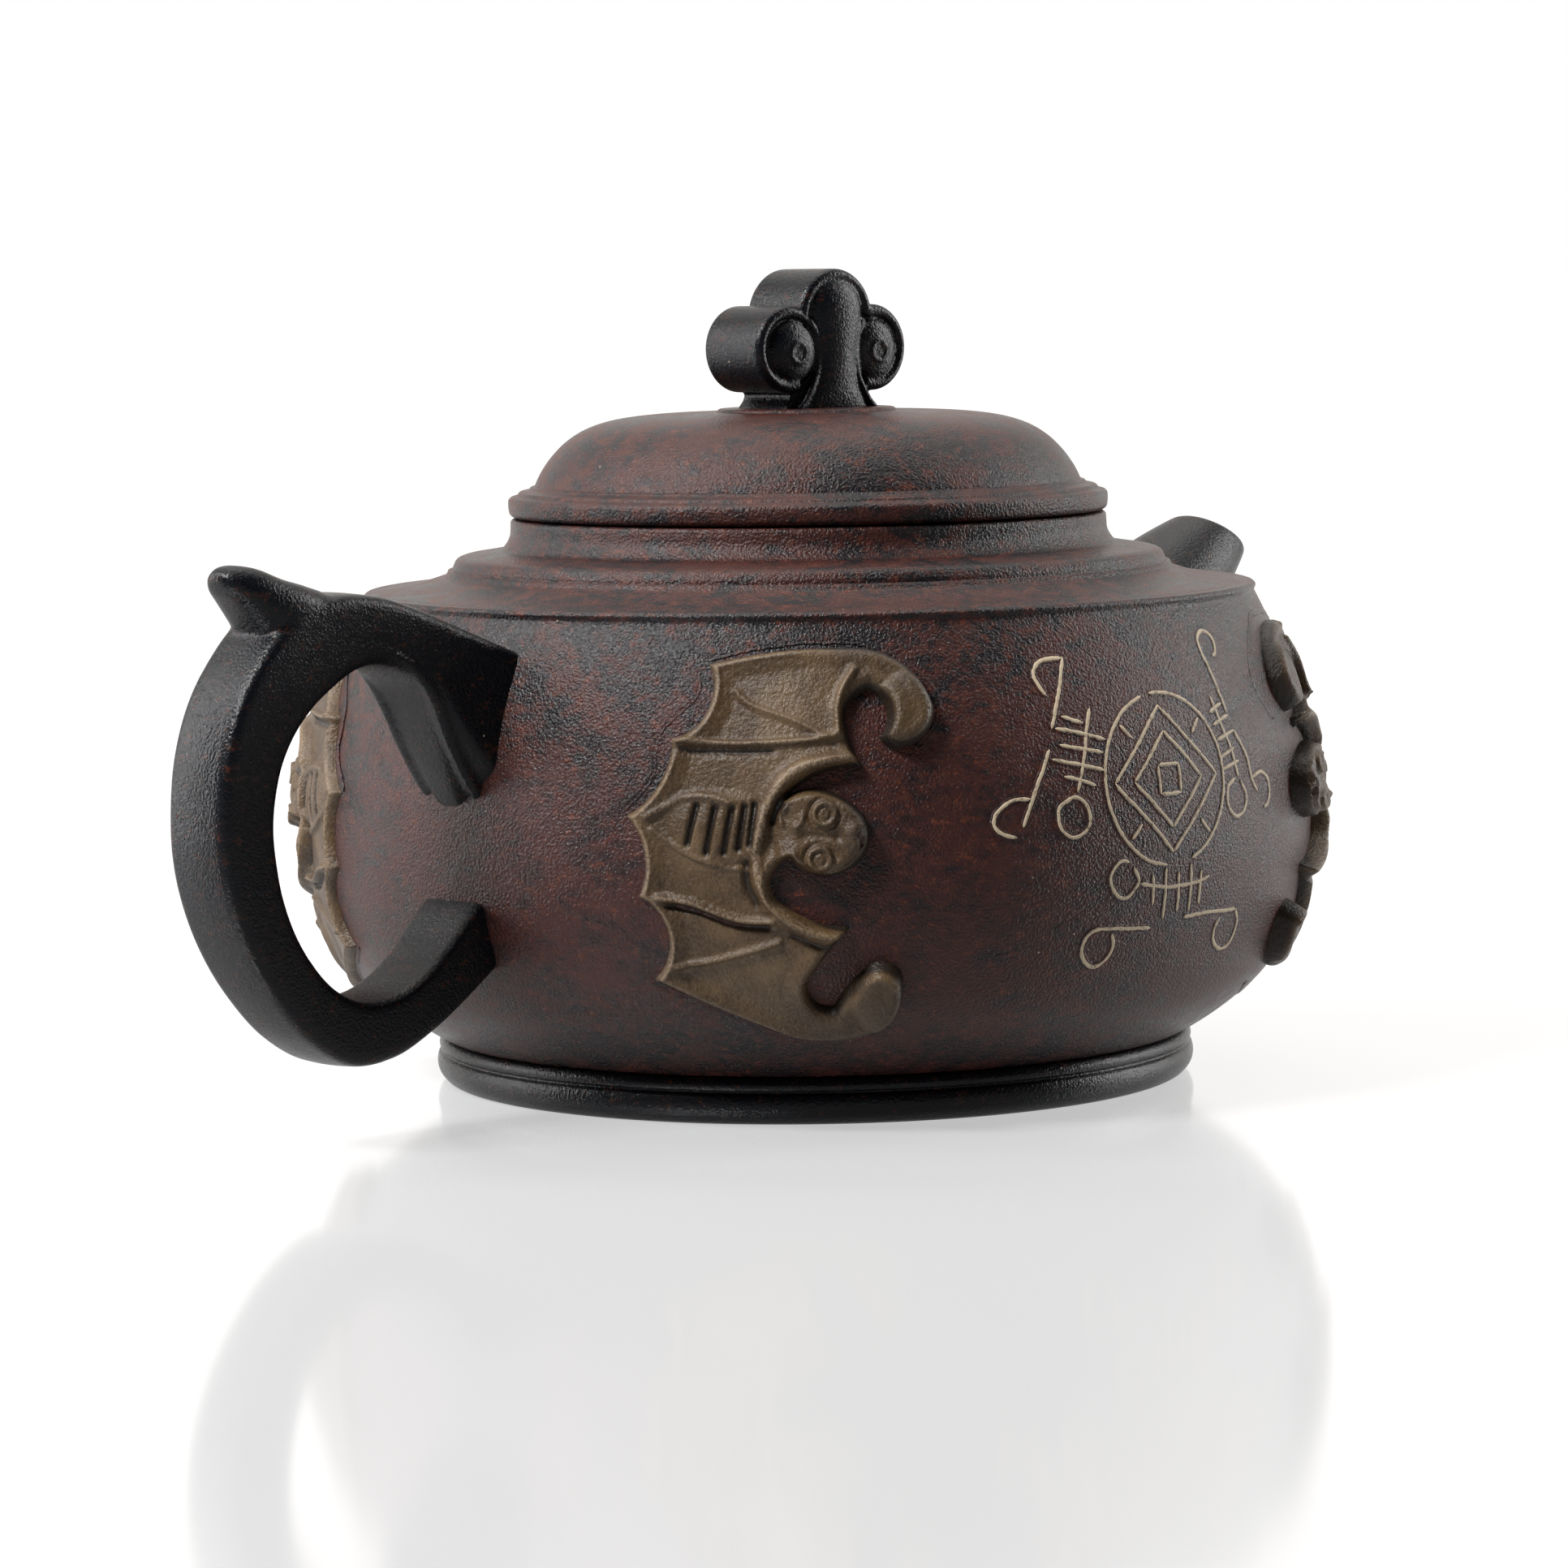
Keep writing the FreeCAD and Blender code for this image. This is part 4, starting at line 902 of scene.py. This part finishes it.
# The lines scribed in the wall round each bat, right of and above the bat's middle
SCRIBED_ROUND_BATS = (
    ((-8.0, 17.5), (-1.35, 18.9), (4.5, 19.4), (9.2, 18.8), (14.8, 14.9), (16.0, 11.4), (13.6, 8.2)),
    ((-8.7, 16.6), (-8.8, 14.0), (-12.0, 11.0), (-13.0, 8.6), (-13.15, 6.4), (-14.4, 4.5), (-16.8, 2.0)),
    ((-14.4, -15.0), (-10.5, -16.9), (-4.7, -19.2), (-0.8, -21.2), (5.0, -22.2), (10.2, -20.6)),
)


def swirl_strokes():
    """All the lines round the emblem."""
    return LOWER_GROUP + LEFT_GROUP + RIGHT_GROUP


def resample(line, step, smooth):
    """Evenly spaced points along a line, first rounding its corners if smooth."""
    line = np.asarray(line, float)
    if smooth and len(line) > 2:
        line = spline(line, 12 * len(line))
    lengths = np.concatenate([[0], np.cumsum(np.hypot(*np.diff(line, axis=0).T))])
    count = max(3, int(lengths[-1] / step) + 1)
    places = np.linspace(0, lengths[-1], count)
    return np.stack([np.interp(places, lengths, line[:, axis]) for axis in (0, 1)], axis=-1)


def stroke_rings(line, section, dice, spot, mirrored):
    """Rings of a thin bar that follows the wall along a stroke drawn by hand."""
    direction, height, heading = spot
    count = len(line)
    drift = np.cumsum(dice.normal(0, 0.02, (count, 2)), axis=0)
    line = line + drift - np.linspace(0, 1, count)[:, None] * drift[-1]
    along = np.gradient(line, axis=0)
    along /= np.hypot(*along.T)[:, None]
    side = np.stack([-along[:, 1], along[:, 0]], axis=-1)
    taper = np.minimum(1, np.minimum(np.arange(count) + 0.35, np.arange(count)[::-1] + 0.35) / 1.6)
    width = taper * (1 + dice.normal(0, 0.1, count))
    rings = []
    for across, proud in section:
        flat = line + side * (across * width)[:, None]
        rings.append(on_wall(direction, heading * flat[:, 0], height + flat[:, 1], proud))
    rings = np.stack(rings, axis=1)
    return rings * np.array([1.0, -1.0, 1.0]) if mirrored else rings


def strokes_piece(name, strokes, smooth, section, seed, spot, mirrored):
    """All strokes of one kind as one mesh; spot is their azimuth, their height and which way they face."""
    dice = np.random.default_rng(seed)
    points, faces, start = [], [], 0
    around = len(section)
    for stroke in strokes:
        rings = stroke_rings(resample(stroke, 0.3, smooth), section, dice, spot, mirrored)
        count = len(rings)
        points.append(rings.reshape(-1, 3))
        faces.extend((grid_faces(count, around, wrap=True) + start).tolist())
        faces.append(list(range(start, start + around))[::-1])
        last = start + (count - 1) * around
        faces.append(list(range(last, last + around)))
        start += count * around
    made = make_mesh(name, np.vstack(points), faces)
    if mirrored == (spot[2] < 0):
        made.data.flip_normals()
    return made


# Sections of the drawn lines: distance to the side of the line and height above the wall
SLIP_SECTION = ((-0.21, 0.0), (-0.14, 0.06), (0.14, 0.06), (0.21, 0.0), (0.0, -0.3))
BURR_SECTION = ((-0.44, -0.03), (-0.3, 0.06), (-0.17, 0.0), (0.17, 0.0), (0.3, 0.06), (0.44, -0.03),
                (0.0, -0.4))
SCRIBED_SECTION = ((-0.42, -0.03), (-0.2, 0.09), (-0.05, 0.0), (0.12, 0.0), (0.25, 0.06), (0.42, -0.03),
                   (0.0, -0.4))


def ornament(slip, clay):
    """The cream lines on the front and back, each with a low burr, and the lines scribed round the bats."""
    spot = (FRONT_EMBLEM, EMBLEM_HEIGHT, 1)
    kinds = (("emblem", emblem_strokes(), False, 7), ("swirls", swirl_strokes(), True, 11))
    bat_spots = (
        ("handle_side", (HANDLE_SIDE_BAT, BAT_HEIGHT, 1)),
        ("spout_side", (SPOUT_SIDE_BAT, BAT_HEIGHT, -1)),
    )
    for where, mirrored in (("front", False), ("back", True)):
        for kind, strokes, smooth, seed in kinds:
            line = strokes_piece(f"{kind}_slip_{where}", strokes, smooth, SLIP_SECTION, seed, spot, mirrored)
            place(line, "pot", "cream_slip", slip, f"{kind}_{where}")
            burr = strokes_piece(f"{kind}_burr_{where}", strokes, smooth, BURR_SECTION, seed, spot, mirrored)
            place(burr, "pot", "red_brown_clay", clay)
        for side, bat_spot in bat_spots:
            scribed = strokes_piece(f"scribed_{where}_{side}", SCRIBED_ROUND_BATS, True, SCRIBED_SECTION, 5,
                                    bat_spot, mirrored)
            place(scribed, "pot", "red_brown_clay", clay)


# ---------------------------------------------------------------- materials


class Nodes:
    """A short way to build a material's nodes."""

    def __init__(self, name):
        self.material = bpy.data.materials.new(name)
        self.material.use_nodes = True
        self.tree = self.material.node_tree
        self.shader = self.tree.nodes["Principled BSDF"]

    def add(self, kind, values=(), **settings):
        node = self.tree.nodes.new(kind)
        for key, value in settings.items():
            setattr(node, key, value)
        for socket, value in dict(values).items():
            if isinstance(value, bpy.types.NodeSocket):
                self.tree.links.new(value, node.inputs[socket])
            else:
                node.inputs[socket].default_value = value
        return node

    def math(self, operation, first, second):
        return self.add("ShaderNodeMath", {0: first, 1: second}, operation=operation).outputs[0]

    def noise(self, place, scale, detail=4.0, roughness=0.6, distortion=0.0):
        values = {"Vector": place, "Scale": scale, "Detail": detail, "Roughness": roughness,
                  "Distortion": distortion}
        return self.add("ShaderNodeTexNoise", values).outputs["Fac"]

    def range(self, value, low, high, to_low=0.0, to_high=1.0):
        values = {"Value": value, "From Min": low, "From Max": high, "To Min": to_low, "To Max": to_high}
        return self.add("ShaderNodeMapRange", values, interpolation_type="SMOOTHSTEP").outputs["Result"]

    def mix(self, share, first, second):
        node = self.add("ShaderNodeMix", {0: share}, data_type="RGBA")
        for socket, value in ((node.inputs[6], first), (node.inputs[7], second)):
            if isinstance(value, bpy.types.NodeSocket):
                self.tree.links.new(value, socket)
            else:
                socket.default_value = (*value, 1.0)
        return node.outputs[2]

    def place(self):
        return self.add("ShaderNodeTexCoord").outputs["Object"]

    def finish(self, colour, roughness, height, bump_distance, bump_strength):
        self.tree.links.new(colour, self.shader.inputs["Base Color"])
        self.tree.links.new(roughness, self.shader.inputs["Roughness"])
        bump_node = self.add("ShaderNodeBump", {"Height": height, "Distance": bump_distance,
                                                "Strength": bump_strength})
        self.tree.links.new(bump_node.outputs["Normal"], self.shader.inputs["Normal"])
        return self.material


def drag_marks(nodes, place):
    """Fine marks that run round the pot, from the turning: noise drawn out along the circle."""
    apart = nodes.add("ShaderNodeSeparateXYZ", {0: place})
    angle = nodes.math("ARCTAN2", apart.outputs[1], apart.outputs[0])
    around = nodes.math("MULTIPLY", angle, 0.055)
    wrapped = nodes.add("ShaderNodeCombineXYZ", {0: nodes.math("MULTIPLY", around, 0.16),
                                                 1: apart.outputs[2]}).outputs[0]
    return nodes.noise(wrapped, 1500.0, 3.0, 0.6)


def mottled_clay(name, colours, dark_share, gloss, roughness, speck_share, bump_strength):
    """Fired clay: two ground colours in fine blotches, rust flecks and tiny pale grains.

    The blotches are crisp high on the wall and soft low on it; a darker belt runs below the crease and at the
    wall's foot.
    """
    dark, ground, rust = colours
    nodes = Nodes(name)
    place_at = nodes.place()
    squeeze = {0: place_at, 1: (1.0, 1.0, 1.7)}
    flattened = nodes.add("ShaderNodeVectorMath", squeeze, operation="MULTIPLY").outputs[0]
    broad = nodes.noise(flattened, 26.0, 3.0, 0.5)
    blotch = nodes.noise(flattened, 190.0, 9.0, 0.74, 0.35)
    patches = nodes.noise(flattened, 620.0, 6.0, 0.7)
    grain = nodes.noise(place_at, 3000.0, 3.0, 0.6)
    height = nodes.add("ShaderNodeSeparateXYZ", {0: place_at}).outputs[2]
    high = nodes.range(height, 0.040, 0.052, 0.0, 0.03)
    low = nodes.range(height, 0.014, 0.007, 0.0, 0.04)
    above = nodes.range(height, 0.0535, 0.055, 0.0, 1.0)
    belt = nodes.math("MULTIPLY", nodes.math("ADD", high, low), nodes.math("SUBTRACT", 1.0, above))
    mixed = nodes.math("ADD", nodes.math("MULTIPLY", blotch, 0.6), nodes.math("MULTIPLY", patches, 0.3))
    mixed = nodes.math("ADD", mixed, nodes.math("MULTIPLY", broad, 0.2))
    mixed = nodes.math("SUBTRACT", mixed, belt)
    middle = 0.475 + 0.16 * dark_share
    crisp = nodes.range(mixed, middle - 0.03, middle + 0.05)
    soft = nodes.range(mixed, middle - 0.14, middle + 0.08)
    lively = nodes.range(height, 0.028, 0.048, 0.15, 0.8)
    share = nodes.math("ADD", soft, nodes.math("MULTIPLY", nodes.math("SUBTRACT", crisp, soft), lively))
    colour = nodes.mix(share, dark, ground)
    fleck = nodes.math("MULTIPLY", nodes.range(patches, 0.54, 0.64), nodes.range(grain, 0.42, 0.6))
    colour = nodes.mix(nodes.math("MULTIPLY", fleck, 0.6), colour, rust)
    colour = nodes.mix(nodes.range(grain, 0.6, 0.36, 0.0, 0.3), colour, dark)
    cells = nodes.add("ShaderNodeTexVoronoi", {"Vector": place_at, "Scale": 560.0})
    lot = nodes.add("ShaderNodeSeparateXYZ", {0: cells.outputs["Color"]}).outputs[0]
    chosen = nodes.math("LESS_THAN", lot, speck_share)
    speck = nodes.math("MULTIPLY", nodes.math("LESS_THAN", cells.outputs["Distance"], 0.06), chosen)
    colour = nodes.mix(nodes.math("MULTIPLY", speck, 0.6), colour, (0.36, 0.28, 0.2))
    drag = drag_marks(nodes, place_at)
    leather = nodes.noise(place_at, 3400.0, 2.0, 0.55)
    skin = nodes.math("ADD", nodes.math("MULTIPLY", grain, 0.4), nodes.math("MULTIPLY", drag, 0.15))
    skin = nodes.math("ADD", skin, leather)
    shine = nodes.range(mixed, middle - 0.1, middle + 0.1, roughness - 0.05, roughness + 0.05)
    nodes.shader.inputs["Specular IOR Level"].default_value = gloss
    return nodes.finish(colour, shine, skin, bump_distance=0.00026, bump_strength=bump_strength)


def tan_clay():
    """The bats' olive-tan clay, pale where it is rubbed and where a highlight is painted, with painted shade
    in the hollows and over the right side.
    """
    nodes = Nodes("tan clay")
    place_at = nodes.place()
    patches = nodes.noise(place_at, 300.0, 6.0, 0.65)
    broad = nodes.noise(place_at, 75.0, 3.0, 0.5)
    grain = nodes.noise(place_at, 2900.0, 3.0, 0.6)
    colour = nodes.mix(nodes.range(patches, 0.35, 0.65), (0.0330, 0.0182, 0.0080), (0.064, 0.0390, 0.0172))
    colour = nodes.mix(nodes.range(broad, 0.56, 0.42, 0.0, 0.6), colour, (0.0190, 0.0098, 0.0043))
    colour = nodes.mix(nodes.range(grain, 0.4, 0.62, 0.0, 0.45), colour, (0.070, 0.045, 0.024))
    fleck = nodes.range(nodes.noise(place_at, 1000.0, 4.0, 0.7), 0.56, 0.7)
    colour = nodes.mix(nodes.math("MULTIPLY", fleck, 0.45), colour, (0.055, 0.023, 0.008))
    wear_light_shade = nodes.add("ShaderNodeAttribute", attribute_name="wear_light_shade").outputs["Fac"]
    # Rubbed wear and painted highlight: pale where the stored number is high.
    rubbed_and_highlit = nodes.math("MULTIPLY", nodes.range(wear_light_shade, 0.1, 0.8), nodes.range(grain, 0.3, 0.6))
    colour = nodes.mix(nodes.math("MULTIPLY", rubbed_and_highlit, 0.6), colour, (0.15, 0.106, 0.066))
    # Painted shade: near black where the stored number is low.
    colour = nodes.mix(nodes.range(wear_light_shade, -0.05, -0.7, 0.0, 0.88), colour, (0.006, 0.0042, 0.0034))
    skin = nodes.math("ADD", grain, nodes.math("MULTIPLY", nodes.noise(place_at, 1200.0, 2.0, 0.5), 0.8))
    shine = nodes.range(patches, 0.3, 0.7, 0.46, 0.36)
    nodes.shader.inputs["Specular IOR Level"].default_value = 0.22
    return nodes.finish(colour, shine, skin, bump_distance=0.00025, bump_strength=0.6)


def cream_slip():
    """Dry pale slip, stained along its edges."""
    nodes = Nodes("cream slip")
    place_at = nodes.place()
    stain = nodes.noise(place_at, 1800.0, 4.0, 0.7)
    colour = nodes.mix(nodes.range(stain, 0.3, 0.48), (0.10, 0.07, 0.048), (0.32, 0.255, 0.172))
    shine = nodes.range(stain, 0.3, 0.7, 0.75, 0.65)
    return nodes.finish(colour, shine, stain, bump_distance=0.00012, bump_strength=0.7)


# ---------------------------------------------------------------- room


def floor_material():
    """White acrylic with a soft mirror skin, which also glows a little so that it stays white."""
    nodes = Nodes("white acrylic")
    nodes.shader.inputs["Base Color"].default_value = (0.25, 0.252, 0.256, 1.0)
    nodes.shader.inputs["Metallic"].default_value = 0.7
    nodes.shader.inputs["Emission Color"].default_value = (1.0, 1.0, 1.0, 1.0)
    nodes.shader.inputs["Emission Strength"].default_value = 0.50
    nodes.shader.inputs["Specular IOR Level"].default_value = 0.0
    haze = nodes.noise(nodes.place(), 9.0, 3.0, 0.5)
    nodes.tree.links.new(nodes.range(haze, 0.3, 0.7, 0.09, 0.12), nodes.shader.inputs["Roughness"])
    return nodes.material


def studio_floor():
    """A plain pale floor."""
    half = 9.0
    mesh = bpy.data.meshes.new("studio_floor")
    corners = [(-half, -half, 0), (half, -half, 0), (half, half, 0), (-half, half, 0)]
    mesh.from_pydata(corners, [], [(0, 1, 2, 3)])
    thing = bpy.data.objects.new("studio_floor", mesh)
    bpy.context.scene.collection.objects.link(thing)
    thing.data.materials.append(floor_material())


def softbox(name, azimuth, elevation, distance, size, power):
    """A large soft light that faces the pot; azimuth is counted from +X."""
    light = bpy.data.lights.new(name, "AREA")
    light.shape = "RECTANGLE"
    light.size, light.size_y = size
    light.energy = power
    thing = bpy.data.objects.new(name, light)
    a, e = math.radians(azimuth), math.radians(elevation)
    target = Vector((0, 0, 0.045))
    away = Vector((math.cos(a) * math.cos(e), math.sin(a) * math.cos(e), math.sin(e)))
    thing.location = target + away * distance
    thing.rotation_euler = away.to_track_quat("Z", "Y").to_euler()
    thing.visible_camera = False
    bpy.context.scene.collection.objects.link(thing)


CAMERA_AZIMUTH = 223.25


def light_from(tree, towards, low, high, strength):
    """Light from one side of the room; it grows as directions turn towards that side."""
    facing = tree.nodes.new("ShaderNodeVectorMath")
    facing.operation = "DOT_PRODUCT"
    facing.inputs[1].default_value = towards
    direction = tree.nodes.new("ShaderNodeTexCoord").outputs["Generated"]
    tree.links.new(direction, facing.inputs[0])
    fade = tree.nodes.new("ShaderNodeMapRange")
    fade.interpolation_type = "SMOOTHSTEP"
    fade.inputs["From Min"].default_value = low
    fade.inputs["From Max"].default_value = high
    fade.inputs["To Max"].default_value = strength
    tree.links.new(facing.outputs["Value"], fade.inputs["Value"])
    return fade.outputs["Result"]


def world_light(tree):
    """How bright the room is in each direction: white overhead and behind the pot, dim in front of it."""
    dim = 0.04
    back = math.radians(CAMERA_AZIMUTH + 180)
    behind = light_from(tree, (math.cos(back), math.sin(back), 0.1), -0.05, 0.6, 0.9)
    overhead = light_from(tree, (0.2 * math.cos(back), 0.2 * math.sin(back), 0.98), 0.82, 0.96, 3.5)
    lifted = tree.nodes.new("ShaderNodeMath")
    lifted.inputs[1].default_value = dim
    tree.links.new(behind, lifted.inputs[0])
    total = tree.nodes.new("ShaderNodeMath")
    tree.links.new(overhead, total.inputs[0])
    tree.links.new(lifted.outputs[0], total.inputs[1])
    return total.outputs[0]


def studio_light():
    """A white room behind and above the pot, and three soft boxes."""
    softbox("left_light", CAMERA_AZIMUTH - 100, 20, distance=0.9, size=(0.12, 0.8), power=8.0)
    softbox("right_light", CAMERA_AZIMUTH + 110, 14, distance=0.9, size=(0.16, 0.8), power=9.0)
    softbox("key_light", CAMERA_AZIMUTH - 50, 45, distance=1.0, size=(0.28, 0.16), power=22.0)
    world = bpy.data.worlds.new("studio")
    bpy.context.scene.world = world
    world.use_nodes = True
    tree = world.node_tree
    background = tree.nodes["Background"]
    background.inputs["Color"].default_value = (1.0, 0.965, 0.925, 1.0)
    tree.links.new(world_light(tree), background.inputs["Strength"])
    seen = tree.nodes.new("ShaderNodeBackground")
    seen.inputs["Color"].default_value = (1.0, 1.0, 1.0, 1.0)
    path = tree.nodes.new("ShaderNodeLightPath")
    either = tree.nodes.new("ShaderNodeMixShader")
    tree.links.new(path.outputs["Is Camera Ray"], either.inputs[0])
    tree.links.new(background.outputs[0], either.inputs[1])
    tree.links.new(seen.outputs[0], either.inputs[2])
    tree.links.new(either.outputs[0], tree.nodes["World Output"].inputs["Surface"])


def camera():
    """The camera, a long lens a little above the lid."""
    data = bpy.data.cameras.new("camera")
    data.sensor_width = 36.0
    data.lens = 130.92
    data.clip_start = 0.05
    data.clip_end = 40.0
    thing = bpy.data.objects.new("camera", data)
    away = math.radians(CAMERA_AZIMUTH)
    distance, height = 0.6299, 0.0902
    pitch, yaw, roll = 0.0921, -0.0049, -0.0149
    thing.location = (distance * math.cos(away), distance * math.sin(away), height)
    turn = Matrix.Rotation(away + math.pi / 2 - yaw, 4, "Z")
    tilt = Matrix.Rotation(math.pi / 2 - pitch, 4, "X")
    thing.rotation_euler = (turn @ tilt @ Matrix.Rotation(roll, 4, "Z")).to_euler()
    bpy.context.scene.collection.objects.link(thing)
    bpy.context.scene.camera = thing


# The dark, ground and rust colours of the two mottled clays
RED_BROWN = ((0.0046, 0.0044, 0.0056), (0.031, 0.0083, 0.0058), (0.088, 0.022, 0.009))
BLACK = ((0.0017, 0.0022, 0.0034), (0.0058, 0.0037, 0.0037), (0.046, 0.0125, 0.0055))


def main():
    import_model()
    body_clay = mottled_clay("red-brown clay", RED_BROWN, dark_share=0.34, gloss=0.2, roughness=0.31,
                             speck_share=0.06, bump_strength=0.75)
    dark_clay = mottled_clay("black clay", BLACK, dark_share=0.9, gloss=0.15, roughness=0.31,
                             speck_share=0.03, bump_strength=0.4)
    bat_clay = tan_clay()
    wall(body_clay)
    shoulder(body_clay)
    step_and_neck(body_clay)
    foot(dark_clay)
    floor_disc(body_clay)
    flange(body_clay)
    lid_seat(body_clay)
    dome(body_clay)
    handle(dark_clay)
    spout(dark_clay)
    knob(dark_clay)
    for where, mirrored in (("front", False), ("back", True)):
        bat(f"bat_relief_{where}_handle_side", f"bat_{where}_handle_side", bat_clay,
            HANDLE_SIDE_BAT, 1, mirrored)
        bat(f"bat_relief_{where}_spout_side", f"bat_{where}_spout_side", bat_clay,
            SPOUT_SIDE_BAT, -1, mirrored, curl_reach=-4.0, head_reach=2.5, squash=0.93)
    ornament(cream_slip(), body_clay)
    strainer = bpy.data.objects["strainer"]
    strainer.data.materials.clear()
    strainer.data.materials.append(body_clay)
    studio_floor()
    studio_light()
    camera()
    bpy.context.scene.view_settings.view_transform = "Standard"


main()
